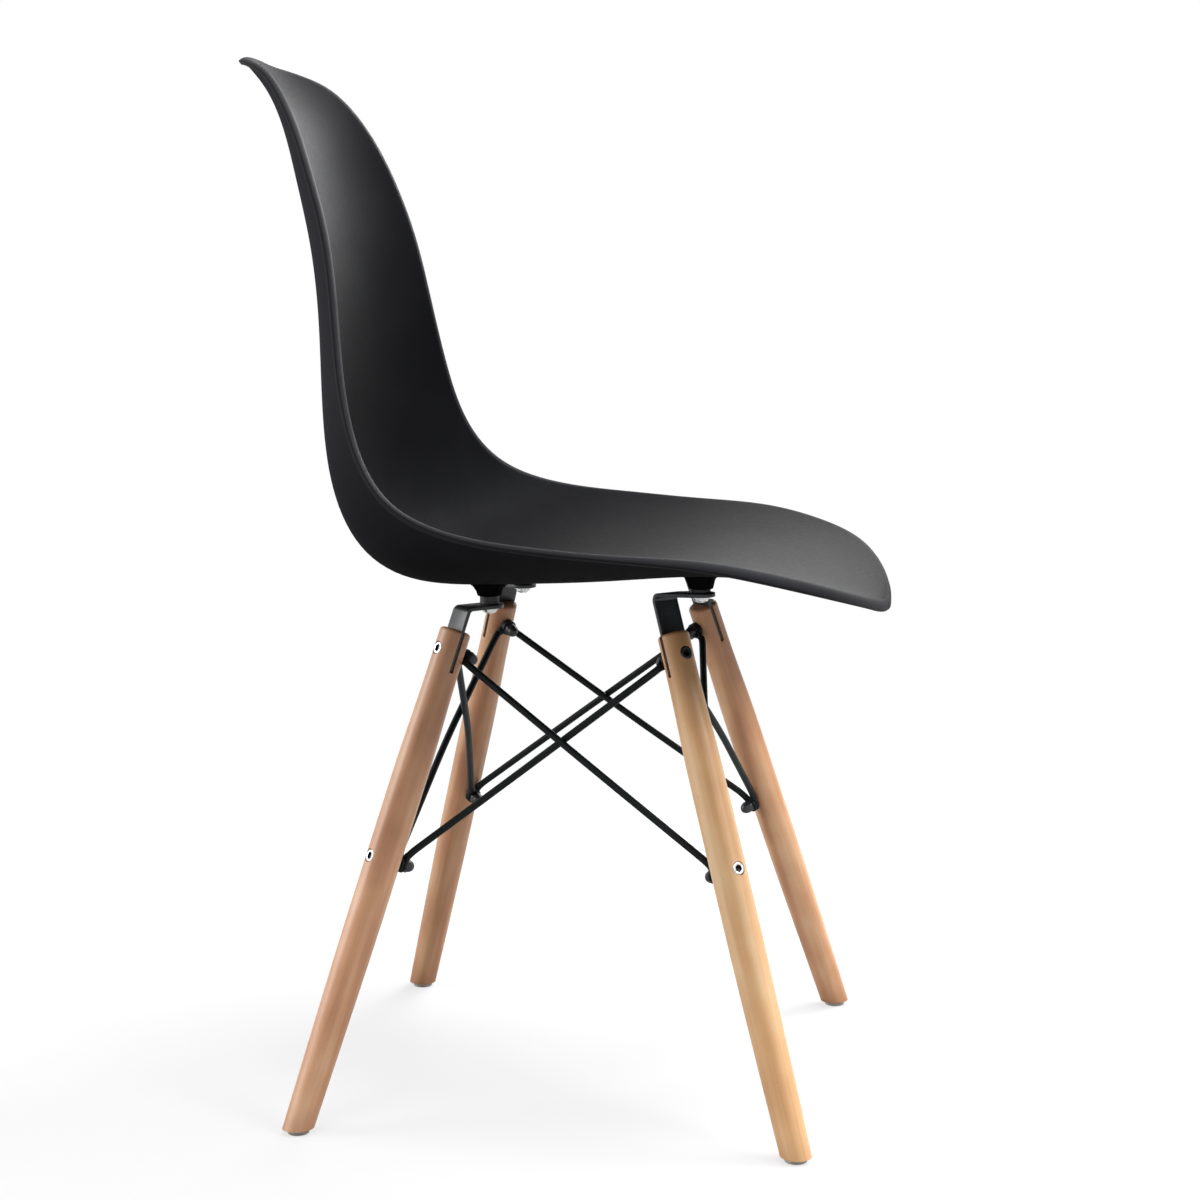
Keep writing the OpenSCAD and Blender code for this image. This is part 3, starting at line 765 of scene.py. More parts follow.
class CopyTree(PieceTree):
    """Repeats a piece by a turn round the chair and a shift."""

    def __init__(self) -> None:
        """Builds the tree with its named inputs."""
        super().__init__("copies_round_the_chair", {"Count": "Int", "Turn": "Float",
                                                    "Shift": "Vector", "Centre": "Vector"})
        tree, given = self.tree, self.given
        index = add(tree, "GeometryNodeInputIndex")
        shift = add(tree, "ShaderNodeVectorMath", {0: given["Shift"], 3: index}, operation="SCALE")
        place = add(tree, "ShaderNodeVectorMath", {0: given["Centre"], 1: shift}, operation="ADD")
        spots = add(tree, "GeometryNodePoints", {"Count": given["Count"], "Position": place})
        back = add(tree, "ShaderNodeVectorMath", {0: given["Centre"], 1: (-1, -1, -1)},
                   operation="MULTIPLY")
        home = add(tree, "GeometryNodeTransform",
                   {"Geometry": given["Geometry"], "Translation": back})
        angle = add(tree, "ShaderNodeMath", {0: index, 1: given["Turn"]}, operation="MULTIPLY")
        spin = add(tree, "ShaderNodeCombineXYZ", {"Z": angle})
        self.close(add(tree, "GeometryNodeInstanceOnPoints",
                       {"Points": spots, "Instance": home, "Rotation": spin}))


class RodTree(PieceTree):
    """Sweeps a round rod along a path and flattens its ends."""

    stored = ("rod_middle", "flat_way", "wide_way", "half_width", "half_thickness", "roundness")

    def __init__(self) -> None:
        """Builds the tree with its named inputs."""
        super().__init__("rod_with_flattened_ends", {"Sides": "Int"})
        tree, given = self.tree, self.given
        middle, flat, wide, width, depth, roundness = [
            add(tree, "GeometryNodeInputNamedAttribute", {"Name": name},
                data_type="FLOAT_VECTOR" if k < 3 else "FLOAT")
            for k, name in enumerate(self.stored)]
        line = add(tree, "GeometryNodeMeshToCurve", {"Mesh": given["Geometry"]})
        where = add(tree, "GeometryNodeInputPosition")
        kept = add(tree, "GeometryNodeStoreNamedAttribute",
                   {"Geometry": line, "Name": self.stored[0], "Value": where},
                   data_type="FLOAT_VECTOR", domain="POINT")
        ring = add(tree, "GeometryNodeCurvePrimitiveCircle",
                   {"Resolution": given["Sides"], "Radius": 1.0})
        tube = add(tree, "GeometryNodeCurveToMesh",
                   {"Curve": kept, "Profile Curve": ring, "Fill Caps": True})
        away = add(tree, "ShaderNodeVectorMath", {0: where, 1: middle}, operation="SUBTRACT")
        spot = middle
        for axis, size in ((flat, depth), (wide, width)):
            dot = add(tree, "ShaderNodeVectorMath", {0: away, 1: axis}, operation="DOT_PRODUCT")
            sign = add(tree, "ShaderNodeMath", {0: dot}, operation="SIGN")
            plain = add(tree, "ShaderNodeMath", {0: dot}, operation="ABSOLUTE")
            bent = add(tree, "ShaderNodeMath", {0: plain, 1: roundness}, operation="POWER")
            share = add(tree, "ShaderNodeMath", {0: sign, 1: bent}, operation="MULTIPLY")
            reach = add(tree, "ShaderNodeMath", {0: share, 1: size}, operation="MULTIPLY")
            part = add(tree, "ShaderNodeVectorMath", {0: axis, 3: reach}, operation="SCALE")
            spot = add(tree, "ShaderNodeVectorMath", {0: spot, 1: part}, operation="ADD")
        self.close(add(tree, "GeometryNodeSetPosition", {"Geometry": tube, "Position": spot}))


def natural_spline(values: np.ndarray, at: np.ndarray) -> np.ndarray:
    """Runs a natural cubic spline through equally spaced rows.

    Args:
        values: one row of numbers for each knot.
        at: places along the knots, counted from 0.

    Returns:
        One row of numbers for each place.
    """
    n = len(values)
    system = np.eye(n)
    side = np.zeros_like(values)
    for i in range(1, n - 1):
        system[i, i - 1 : i + 2] = (1, 4, 1)
        side[i] = 6 * (values[i - 1] - 2 * values[i] + values[i + 1])
    bends = np.linalg.solve(system, side)
    i = np.clip(np.floor(at).astype(int), 0, n - 2)
    t = (at - i)[:, None]
    s = 1 - t
    curve = (s**3 - s) * bends[i] + (t**3 - t) * bends[i + 1]
    return s * values[i] + t * values[i + 1] + curve / 6


def unit(vectors: np.ndarray) -> np.ndarray:
    """Returns vectors scaled to length 1."""
    return vectors / np.linalg.norm(vectors, axis=-1, keepdims=True)


@dataclass
class SeatShell:
    """The moulded shell with its rolled edge and the four bosses under the seat, in millimetres.

    The rows run from the top of the back to the front of the seat. An edge row gives x, y and z
    on the sitter's left edge, and a centre row gives x and z on the centre plane.
    """

    finish: Material
    wall: float = 4.5
    seat_roll: float = 7.0
    back_roll: float = 8.5
    front_roll: float = 11.0
    back_shares: tuple = (0.5, 0.67, 0.84, 1, 1, 1, 1, 1, 0.75, 0.5, 0.25) + (0,) * 8
    front_shares: tuple = (0,) * 13 + (0.7, 0.95, 0.8, 0.5, 0.4, 0.3)
    roll_turn: float = math.radians(80)
    lip_round: float = 1.0
    hollow_power: float = 2.1
    width: float = 470.0
    height: float = 820.0
    drawn_height: float = 816.0
    fold: float = 440.0
    # Shares of the roll's radius that stand out past the edge at the sides and over the crown
    side_share: float = 1.37
    crown_share: float = 0.39
    # The way in from the edge is aimed at this share of the half width, and at no row nearer to
    # the ends than this
    aim_share: float = 0.86
    aim_rows: float = 1.4
    seat_row: float = 9.0
    spans: int = 8
    columns: int = 104
    edge_rows: tuple = (
        (-258, 24, 814.9), (-247.3, 50, 809.9), (-223, 80, 796.2), (-198, 103, 761),
        (-180, 119, 717), (-167, 128, 672), (-158, 140, 620), (-150, 155, 569), (-136, 170, 519),
        (-106, 191, 480), (-56, 213, 461), (0, 226, 454), (60, 226, 449), (120, 217, 444.8),
        (169, 200.3, 435.2), (206.8, 167.5, 422.2), (229.3, 107.3, 407.8), (238.5, 56.7, 398.7),
        (241.7, 21, 394.6),
    )
    centre_rows: tuple = (
        (-260, 816), (-248, 801), (-236, 782), (-225, 755), (-215, 715), (-205, 665), (-199, 608),
        (-197, 546), (-191, 483), (-168, 433), (-122, 409), (-52, 408), (24, 412), (95, 418),
        (150, 418), (193, 413.2), (222.6, 404.8), (237.6, 397.7), (242.4, 393.8),
    )
    boss_r: float = 9.5
    boss_flare: float = 2.5
    boss_fillet: float = 3.0
    boss_bore: tuple[float, float] = (4.55, 11)
    boss_sunk: float = 2.5
    under_skin: float = 2.2
    fin_reach: float = 16.0
    fin_foot: float = 9.0
    fin_clear: float = 1.0
    fin_t: float = 2.0
    fin_soften: float = 0.35
    edge: np.ndarray = field(init=False)
    centre: np.ndarray = field(init=False)
    rolls: np.ndarray = field(init=False)

    def __post_init__(self) -> None:
        """Works out the rows in the frame's own place and height."""
        back, front = np.array(self.back_shares), np.array(self.front_shares)
        self.rolls = (self.seat_roll + (self.back_roll - self.seat_roll) * back
                      + (self.front_roll - self.seat_roll) * front)[:, None]
        self.edge = np.array(self.edge_rows, float)
        self.centre = np.array([(x, 0, z) for x, z in self.centre_rows], float)
        half = self.width / 2 - self.side_share * self.seat_roll
        self.edge[:, 1] *= half / self.edge[:, 1].max()
        top = self.height - self.crown_share * self.rolls[0, 0]
        stretch = (top - self.fold) / (self.drawn_height - self.fold)
        for rows in (self.edge, self.centre):
            high = rows[:, 2] > self.fold
            rows[high, 2] = self.fold + (rows[high, 2] - self.fold) * stretch

    @property
    def last(self) -> int:
        """Returns the number of the last row."""
        return len(self.edge) - 1

    def skin(self, u: np.ndarray, v: np.ndarray) -> np.ndarray:
        """Gives points of the sitter's side of the shell.

        Args:
            u: row, from 0 at the top of the back to the last at the front of the seat.
            v: share of the half width, from -1 at the right edge to 1 at the left.

        Returns:
            Points in millimetres, measured from the frame's middle.
        """
        edge, centre = natural_spline(self.edge, u), natural_spline(self.centre, u)
        points = centre + (edge - centre) * np.abs(v)[:, None] ** self.hollow_power
        points[:, 1] = edge[:, 1] * v
        return points

    def normals(self, u: np.ndarray, v: np.ndarray) -> np.ndarray:
        """Gives the directions square to the skin.

        Args:
            u: row of each point.
            v: share of the half width of each point.

        Returns:
            Directions of length 1, on the sitter's side.
        """
        step = 0.02
        along = self.skin(u + step, v) - self.skin(u - step, v)
        across = self.skin(u, v + step) - self.skin(u, v - step)
        return unit(np.cross(along, across))

    def height_at(self, x: float, y: float) -> float:
        """Finds the height of the seat over a place.

        Args:
            x: distance in front of the frame's middle.
            y: distance from the centre plane.

        Returns:
            Height in millimetres.
        """
        low, high = self.seat_row, self.last - 1.0
        for _ in range(30):
            middle = np.array([(low + high) / 2])
            share = np.array([y / natural_spline(self.edge, middle)[0, 1]])
            point = self.skin(middle, share)[0]
            low, high = (middle[0], high) if point[0] < x else (low, middle[0])
        return float(point[2])

    def rim_profile(self, radius: float) -> np.ndarray:
        """Gives the section of the rolled edge.

        Args:
            radius: outer radius of the roll.

        Returns:
            Places from the sitter's side round the lip to the underside, as distances along the
            outward and upward directions from the roll's middle.
        """
        inner, c = radius - self.wall, self.lip_round
        out_turn = self.roll_turn - math.asin(c / (radius - c))
        in_turn = self.roll_turn - math.asin(c / (inner + c))
        face = self.roll_turn + QUARTER

        def arc(middle: np.ndarray, r: float, angles: np.ndarray) -> np.ndarray:
            """Returns points of an arc."""
            return middle + r * np.column_stack([np.sin(angles), np.cos(angles)])

        origin = np.zeros(2)
        out_mid = arc(origin, radius - c, np.array([out_turn]))
        in_mid = arc(origin, inner + c, np.array([in_turn]))
        return np.vstack([arc(origin, radius, np.linspace(out_turn / 9, out_turn, 9)),
                          arc(out_mid, c, np.linspace(out_turn, face, 6)[1:]),
                          arc(in_mid, c, np.linspace(face, in_turn + math.pi, 6)),
                          arc(origin, inner, np.linspace(in_turn, 0, 7)[1:])])

    def rim_ways(self, rim: np.ndarray, u: np.ndarray, v: np.ndarray) -> tuple:
        """Gives the directions that the rolled edge is drawn in.

        Args:
            rim: points of the edge, all the way round.
            u: row of each point.
            v: share of the half width of each point.

        Returns:
            The outward and the upward direction at each point.
        """
        # The edge's own direction is evened out over four points either way, and the way in is
        # aimed at the skin a little inside the edge and short of the ends, so the corners turn
        # without a kink
        along = unit(sum(unit(np.roll(rim, -reach, 0) - np.roll(rim, reach, 0))
                         for reach in (1, 2, 3, 4)))
        aim = np.clip(u, self.aim_rows, self.last - self.aim_rows)
        inward = self.skin(aim, self.aim_share * v) - rim
        up = unit(np.cross(inward, along))
        return np.cross(along, -up), up

    def build_wall(self) -> tuple[list, list]:
        """Builds the one closed wall of the shell.

        Returns:
            Points in metres and faces.
        """
        rows, cols = self.last * self.spans, self.columns
        wide = cols + 1
        grid_u = np.repeat(np.arange(rows + 1) / self.spans, wide)
        grid_v = np.tile(2 * np.arange(wide) / cols - 1, rows + 1)
        upper = self.skin(grid_u, grid_v)
        lower = upper - self.wall * self.normals(grid_u, grid_v)
        ring = [(0, j) for j in range(wide)] + [(i, cols) for i in range(1, rows + 1)]
        ring += [(rows, j) for j in range(cols - 1, -1, -1)]
        ring += [(i, 0) for i in range(rows - 1, 0, -1)]
        ids = np.array([i * wide + j for i, j in ring])
        rim, u, v = upper[ids], grid_u[ids], grid_v[ids]
        out, up = self.rim_ways(rim, u, v)
        radii = natural_spline(self.rolls, u)
        profiles = np.array([self.rim_profile(r) for r in radii[:, 0]])
        mids = rim - radii * up
        rings = [mids + profiles[:, k, :1] * out + profiles[:, k, 1:] * up
                 for k in range(profiles.shape[1])]
        points = np.vstack([upper, *rings, lower])
        points = (points + np.array([LEGS.middle_x / MM, 0, 0])) * MM
        count, turn_start = len(ids), len(upper)
        low_start = turn_start + len(rings) * count
        place = {cell: low_start - count + k for k, cell in enumerate(ring)}

        def low_id(i: int, j: int) -> int:
            """Returns the number of a point of the underside."""
            return place.get((i, j), low_start + i * wide + j)

        faces = []
        for i in range(rows):
            for j in range(cols):
                a = i * wide + j
                faces.append((a, a + wide, a + wide + 1, a + 1))
                faces.append((low_id(i, j), low_id(i, j + 1), low_id(i + 1, j + 1),
                              low_id(i + 1, j)))
        for k in range(count):
            n = (k + 1) % count
            faces.append((int(ids[k]), int(ids[n]), turn_start + n, turn_start + k))
            for a in range(turn_start, low_start - count, count):
                faces.append((a + k, a + n, a + count + n, a + count + k))
        return points.tolist(), faces

    def build_boss(self, mount: SeatMount, side: int) -> list[Object]:
        """Builds one tapered boss with its crossed fins.

        Args:
            mount: front or rear pair.
            side: 1 for the sitter's left, -1 for the right.

        Returns:
            The boss and its two fins.
        """
        x, y, low = mount.value[0], side * mount.value[1], mount.boss_low
        high = self.height_at(x, y) - self.boss_sunk
        place = LEGS.over(x, y)
        slope = self.boss_flare / (high - low)
        (bore, deep), r, fillet = self.boss_bore, self.boss_r, self.boss_fillet
        rings: Rings = [(low + deep, 0), (low + deep, bore), (low, bore), (low, r - 0.5),
                        (low + 0.5, r)]
        for turn in np.linspace(0, QUARTER, 7):
            rise = (high - self.under_skin - low - fillet) + fillet * math.sin(turn)
            rings.append((low + rise, r + slope * rise + fillet * (1 - math.cos(turn))))
        rings += [(high, rings[-1][1]), (high, 0)]
        pieces = [turned("boss", rings, place)]
        reach, foot, under = self.fin_reach, self.fin_foot, low + self.fin_clear
        for turn in (QUARTER / 2, 3 * QUARTER / 2):
            ends = [self.height_at(x + way * math.cos(turn), y + way * math.sin(turn))
                    - self.boss_sunk for way in (-reach, reach)]
            outline = [(-reach, ends[0]), (0.8 - reach, ends[0] - 3), (-foot - 0.6, under + 0.5),
                       (-foot, under), (foot, under), (foot + 0.6, under + 0.5),
                       (reach - 0.8, ends[1] - 3), (reach, ends[1]), (0, high)]
            across = place @ Matrix.Rotation(turn, 4, "Z")
            pieces.append(plate("fin", outline, self.fin_t, across, self.fin_soften))
        return pieces

    def build(self) -> None:
        """Builds the wall, joins the bosses to it and dresses the shell."""
        points, faces = self.build_wall()
        shell = mesh_object("moulded_shell", points, faces, 60.0)
        with opened(shell.data) as work:
            for part in [p for mount in SeatMount for side in (1, -1)
                         for p in self.build_boss(mount, side)]:
                work.from_mesh(part.data)
                bpy.data.meshes.remove(part.data)
        grid = (self.last * self.spans + 1) * (self.columns + 1)
        # The rolled edge gets "rim" for its painted highlight; the outside and underside get
        # "under", for a duller finish and the painted light on the back
        mark(shell.data, "rim", grid, len(points) - grid)
        mark(shell.data, "under", len(points) - grid, len(shell.data.vertices))
        paint(shell, self.finish)
        report(shell, "shell_plastic", "seat_shell")


@dataclass
class Fasteners:
    """Bolts, cap nuts, seat screws, washers, spacers, inserts and glides, in millimetres."""

    copies: CopyTree
    plated: Material
    dark_head: Material
    coated: Material
    bush: Material
    brass: Material
    glide: Material
    bolt_d: float = 6.0
    head_d: float = 10.0
    head_h: float = 3.0
    head_sink: float = 0.6
    key: float = 5.0
    tab_stack: float = 5.15
    nut_w: float = 10.0
    nut_h: float = 4.5
    dome_h: float = 5.0
    strap_t: float = 3.0
    washer_t: float = 1.2
    washer_r: float = 7.0
    spacer_r: float = 7.5
    hole_r: float = 3.3
    insert_r: float = 4.5
    insert_h: float = 9.0
    thread_r: float = 3.05
    screw_r: float = 3.0
    screw_head_r: float = 5.75
    screw_head_h: float = 3.2
    screw_into: float = 8.5
    glide_r: float = 8.5
    glide_h: float = 4.0
    nail_r: float = 1.2
    nail_end: float = 18.4
    foot_level: float = 4.05

    def set_out(self, piece: Object, finish: Material, slot: str, nodes: list[str], count: int,
                turn: float = 0.0, shift: tuple[float, float, float] = (0, 0, 0)) -> None:
        """Repeats a piece, ties the copies to the body and hides their nodes.

        Args:
            piece: the first copy, in its place.
            finish: material of all copies.
            slot: not used, only passed on.
            nodes: nodes that the copies replace.
            count: number of copies.
            turn: angle from one copy to the next, round the frame's middle, in radians.
            shift: step from one copy to the next, in metres.
        """
        self.copies.run(piece, {"Count": count, "Turn": turn, "Shift": shift, "Finish": finish,
                                "Centre": (LEGS.middle_x, 0, 0)})
        report(piece, slot, *nodes)

    def leg_bolt(self, name: str, corner: Corner, row: BoltRow) -> Object:
        """Makes one leg bolt with a flat head and a hexagonal key hole.

        Args:
            name: name of the piece.
            corner: leg that it goes through.
            row: upper or lower bolt.

        Returns:
            The bolt, with its key hole marked.
        """
        face = row.side - self.head_sink
        tip = -(row.side + self.tab_stack + self.nut_h)
        back, r, key, shank = face - self.head_h, self.head_d / 2, self.key, self.bolt_d / 2
        hole: Rings = [(back + 0.9, 0), (back + 1.2, 1.2), (back + 1.5, hexagon(key * 0.98)),
                       (face - 0.35, hexagon(key))]
        head: Rings = [(face - 0.1, hexagon(key + 0.35)), (face, hexagon(key + 0.7)),
                       (face, r - 0.8), (face - 0.12, r - 0.35), (face - 0.5, r), (back + 0.2, r),
                       (back, r - 0.2), (back, shank), (tip, shank), (tip, 0)]
        bolt = turned(name, hole + head, LEGS.along_bolt(corner, row, QUARTER))
        # The key hole is marked for its darker colour, which is partly painted shade
        mark(bolt.data, "recess", 0, 1 + (len(hole) - 1) * SEGMENTS)
        return bolt

    def cap_nut(self, name: str, corner: Corner, row: BoltRow) -> Object:
        """Makes one cap nut with a chamfered hexagon and a dome.

        Args:
            name: name of the piece.
            corner: leg that it sits on.
            row: upper or lower bolt.

        Returns:
            The nut.
        """
        low, w = row.side + self.tab_stack, self.nut_w
        top = low + self.nut_h
        bore = self.thread_r
        rings: Rings = [(top + 0.4, 0), (top, bore), (low, bore), (low, 4.4), (low + 0.05, 4.9)]
        rings += [(low + 0.1 + 0.22 * k, hexagon(w, 4.95 + 0.21 * k)) for k in range(4)]
        rings += [(top - 0.2 - 0.22 * k, hexagon(w, 5.0 + 0.21 * k)) for k in range(3, -1, -1)]
        rings += [(top, 4.85)]
        rings += [(top + self.dome_h * math.sin(a), 4.75 * math.cos(a))
                  for a in map(math.radians, range(4, 85, 8))]
        rings += [(top + self.dome_h, 0)]
        return turned(name, rings, LEGS.along_bolt(corner, row, -QUARTER))

    def screw_rings(self, head: float, tip: float) -> Rings:
        """Gives the rings of a seat screw with a domed head.

        Args:
            head: height of the head's upper face.
            tip: height of the screw's tip.

        Returns:
            Rings from the floor of the key hole to the tip.
        """
        key, wide, shank, face = self.key, self.screw_head_r, self.screw_r, head - self.screw_head_h
        rings: Rings = [(head - 0.9, 0), (head - 1.2, 1.2), (head - 1.4, hexagon(key * 0.98)),
                        (face + 0.25, hexagon(key)), (face + 0.1, hexagon(key + 0.3)), (face, 3.0)]
        rings += [(head - 1.1 - 2.1 * math.sin(a), wide * math.cos(a))
                  for a in map(math.radians, (55, 45, 35, 25, 15, 7, 0))]
        return rings + [(head - 0.15, wide), (head, wide - 0.15), (head, shank),
                        (tip - 0.8, shank), (tip, shank - 0.7), (tip, 0)]

    def seat_set(self, mount: SeatMount) -> None:
        """Makes the screws, washers, spacers and inserts of two mirrored bosses.

        Args:
            mount: front or rear pair.
        """
        x, y, flange, spacer = mount.value
        top = flange + GAP
        low = flange - self.strap_t - GAP
        under = low - self.washer_t
        base = mount.boss_low + GAP
        stand = bush(top, top + spacer, self.hole_r, self.spacer_r, 0.4)
        washer = bush(low, under, self.hole_r, self.washer_r, 0.2)
        screw = self.screw_rings(under - GAP, base + self.screw_into)
        insert = bush(base, base + self.insert_h, self.thread_r, self.insert_r, 0.2)
        for node, rings, finish, slot in (
            ("boss_spacers", stand, self.bush, "spacer_plastic"),
            ("seat_washers", washer, self.plated, "zinc_steel"),
            ("seat_screws", screw, self.plated, "zinc_steel"),
            ("threaded_inserts", insert, self.brass, "insert_brass"),
        ):
            piece = turned(node + "_" + mount.name.lower(), rings, LEGS.over(x, y))
            self.set_out(piece, finish, slot, [node], 2, shift=(0, -2 * y * MM, 0))

    def glides(self) -> None:
        """Makes the four glides under the feet, each with its nail."""
        reach = LEGS.foot_spread / math.sqrt(2) - self.foot_level * MM * math.tan(LEGS.lean)
        spot = LEGS.upright(Corner.FRONT_LEFT) @ Matrix.Translation((reach, 0, 0))
        r, top, shank, end = self.glide_r, self.glide_h, self.nail_r, self.nail_end
        glide: Rings = [(0, self.hole_r), (0, r - 1.1), (0.12, r - 0.6), (0.45, r - 0.15), (1, r),
                        (top - 0.3, r), (top, r - 0.2), (top, shank + GAP), (1.2, shank + GAP),
                        (1.2, self.hole_r)]
        nail: Rings = [(0.4, 0), (0.4, 2.6), (0.7, 3.0), (1.9, 3.0), (2.1, 2.8), (2.1, shank),
                       (end - 1, shank), (end, 0)]
        self.set_out(turned("glides", glide, spot), self.glide, "glide_plastic",
                     [c.label + "_glide" for c in Corner], 4, QUARTER)
        self.set_out(turned("glide_nails_and_heads", nail, spot), self.plated, "zinc_steel",
                     ["glide_nails"], 4, QUARTER)

    def build(self) -> None:
        """Builds every fastener set."""
        # One upper bolt, at the front right, has a dark head in the photograph
        first, last, upper, lower = Corner.FRONT_LEFT, Corner.FRONT_RIGHT, *BoltRow
        for name, corner, row, finish, count in (
            ("leg_bolts_upper", first, upper, self.plated, 3),
            ("leg_bolt_upper_dark", last, upper, self.dark_head, 1),
            ("leg_bolts_lower", first, lower, self.plated, 4),
        ):
            self.set_out(self.leg_bolt(name, corner, row), finish, "zinc_steel",
                         [row.name.lower() + "_leg_bolts"], count, QUARTER)
        for row in BoltRow:
            label = row.name.lower()
            self.set_out(self.cap_nut("cap_nuts_" + label, first, row), self.coated,
                         "black_steel", [label + "_cap_nuts"], 4, QUARTER)
        for mount in SeatMount:
            self.seat_set(mount)
        self.glides()


@dataclass
class BraceRods:
    """The eight brace rods, each from an upper bolt to the lower bolt of the next leg, in mm."""

    sweep: RodTree
    finish: Material
    rod_d: float = 5.6
    tab_t: float = 2.5
    eye_d: float = 13.0
    neck_w: float = 8.0
    tab_reach: float = 11.0
    tab_roundness: float = 0.35
    rod_lift: float = 0.8
    cross_gap: float = 0.3
    bend_reach: float = 7.0
    bow_reach: float = 30.0
    # The eye is drawn round in steps of this share of a half turn, up to where the neck starts
    eye_steps: int = 16
    neck_step: int = 4
    bend_steps: int = 6

    def eye(self, corner: Corner, row: BoltRow, layer: Layer) -> Vector:
        """Finds the middle of an eye.

        Args:
            corner: leg that it lies on.
            row: upper or lower bolt.
            layer: layer of the rod's ends.

        Returns:
            Place in metres.
        """
        step = GAP + (self.tab_t + GAP if layer is Layer.OUTER else 0)
        inward = -(row.side + step + self.tab_t / 2)
        return LEGS.along_leg(corner) @ (Vector((inward, 0, -row.drop)) * MM)

    def end(self, corner: Corner, eye: Vector, other: Vector) -> tuple[list[PathPoint], Vector]:
        """Works out one flattened end.

        Args:
            corner: leg that it lies on.
            eye: middle of the eye.
            other: middle of the rod's other eye.

        Returns:
            Points of the path from the tip to just before the bend, and the place of the bend.
        """
        face = (LEGS.along_leg(corner).to_3x3() @ Vector((1, 0, 0))).normalized()
        away = other - eye
        tab = (away - away.dot(face) * face).normalized()
        bend = eye + self.tab_reach * MM * tab - self.rod_lift * MM * face
        r, eye_r, neck, flat = [
            d / 2 * MM for d in (self.rod_d, self.eye_d, self.neck_w, self.tab_t)]
        found = []
        for turn in range(self.eye_steps - self.neck_step + 1):
            s = -math.cos(math.pi * turn / self.eye_steps)
            # The tip keeps a little width, so that its end cap has an area
            wide = eye_r * math.sqrt(max(1 - s * s, 0.004))
            wide = max(wide, neck) if s > 0 else wide
            found.append((eye + s * eye_r * tab, face, wide, flat, self.tab_roundness))
        base = eye + eye_r * math.cos(math.pi * self.neck_step / self.eye_steps) * tab
        for k in range(1, self.bend_steps):
            t = k / self.bend_steps
            blend = t * t * (3 - 2 * t)
            found.append((base.lerp(bend, t), face, neck + (r - neck) * blend,
                          flat + (r - flat) * blend,
                          self.tab_roundness + (1 - self.tab_roundness) * blend))
        return found, bend

    def path(self, start: Corner, end: Corner, layer: Layer) -> list[PathPoint]:
        """Works out the path of one rod.

        Args:
            start: leg at the upper bolt.
            end: leg at the lower bolt.
            layer: layer of its ends.

        Returns:
            For each point its place, the direction square to the flat, the half width, the half
            thickness and the roundness.
        """
        p, q = self.eye(start, BoltRow.UPPER, layer), self.eye(end, BoltRow.LOWER, layer)
        (head, p_bend), (tail, q_bend) = self.end(start, p, q), self.end(end, q, p)
        side = Vector((p.x + q.x - 2 * LEGS.middle_x, p.y + q.y, 0)).normalized()
        bow = (self.rod_d + self.cross_gap) / 2 * MM * (1 if layer is Layer.INNER else -1)
        middle = (p_bend + q_bend) / 2 + bow * side
        points = list(head)
        stops = [head[-2][0], p_bend, middle, q_bend, tail[-2][0]]
        for a, b, c in zip(stops, stops[1:], stops[2:]):
            reach = (self.bow_reach if b is middle else self.bend_reach) * MM
            near = reach if b is middle else min(reach, (b - a).length * 0.9)
            before, after = b + (a - b).normalized() * near, b + (c - b).normalized() * reach
            face = (head if b is p_bend else tail)[0][1]
            for t in (k / self.bend_steps for k in range(self.bend_steps + 1)):
                spot = before * (1 - t) ** 2 + b * (2 * t * (1 - t)) + after * t**2
                points.append((spot, face, self.rod_d / 2 * MM, self.rod_d / 2 * MM, 1.0))
        return points + tail[::-1]

    def build_rod(self, name: str, start: Corner, end: Corner, layer: Layer) -> Object:
        """Builds one rod.

        Args:
            name: name of the piece.
            start: leg at the upper bolt.
            end: leg at the lower bolt.
            layer: layer of its ends.

        Returns:
            The rod.
        """
        points, faces, widths, depths, rounds = zip(*self.path(start, end, layer))
        mesh = bpy.data.meshes.new(name)
        mesh.from_pydata([tuple(p) for p in points],
                         [(k, k + 1) for k in range(len(points) - 1)], [])
        flats, wides = [], []
        for k, face in enumerate(faces):
            ahead = (points[min(k + 1, len(points) - 1)] - points[max(k - 1, 0)]).normalized()
            square = (face - face.dot(ahead) * ahead).normalized()
            flats.extend(square)
            wides.extend(ahead.cross(square))
        for label, values in zip(self.sweep.stored[1:], (flats, wides, widths, depths, rounds)):
            is_vector = len(values) > len(points)
            kept = mesh.attributes.new(label, "FLOAT_VECTOR" if is_vector else "FLOAT", "POINT")
            kept.data.foreach_set("vector" if is_vector else "value", values)
        rod = show(name, mesh)
        self.sweep.run(rod, {"Sides": 28, "Finish": self.finish})
        for label in self.sweep.stored:
            if label in rod.data.attributes:
                rod.data.attributes.remove(rod.data.attributes[label])
        smooth(rod.data, 50)
        return rod

    def build(self) -> None:
        """Builds all eight rods."""
        right, front = Corner.FRONT_RIGHT, Corner.FRONT_LEFT
        ways = {"front": (right, front), "left": (front, Corner.REAR_LEFT),
                "rear": (Corner.REAR_LEFT, Corner.REAR_RIGHT), "right": (Corner.REAR_RIGHT, right)}
        for side, legs in ways.items():
            for layer in Layer:
                start, end = legs if layer is Layer.INNER else legs[::-1]
                rod = self.build_rod(side + "_rod_" + layer.name.lower(), start, end, layer)
                report(rod, "black_steel", side + "_brace_" + layer.value)


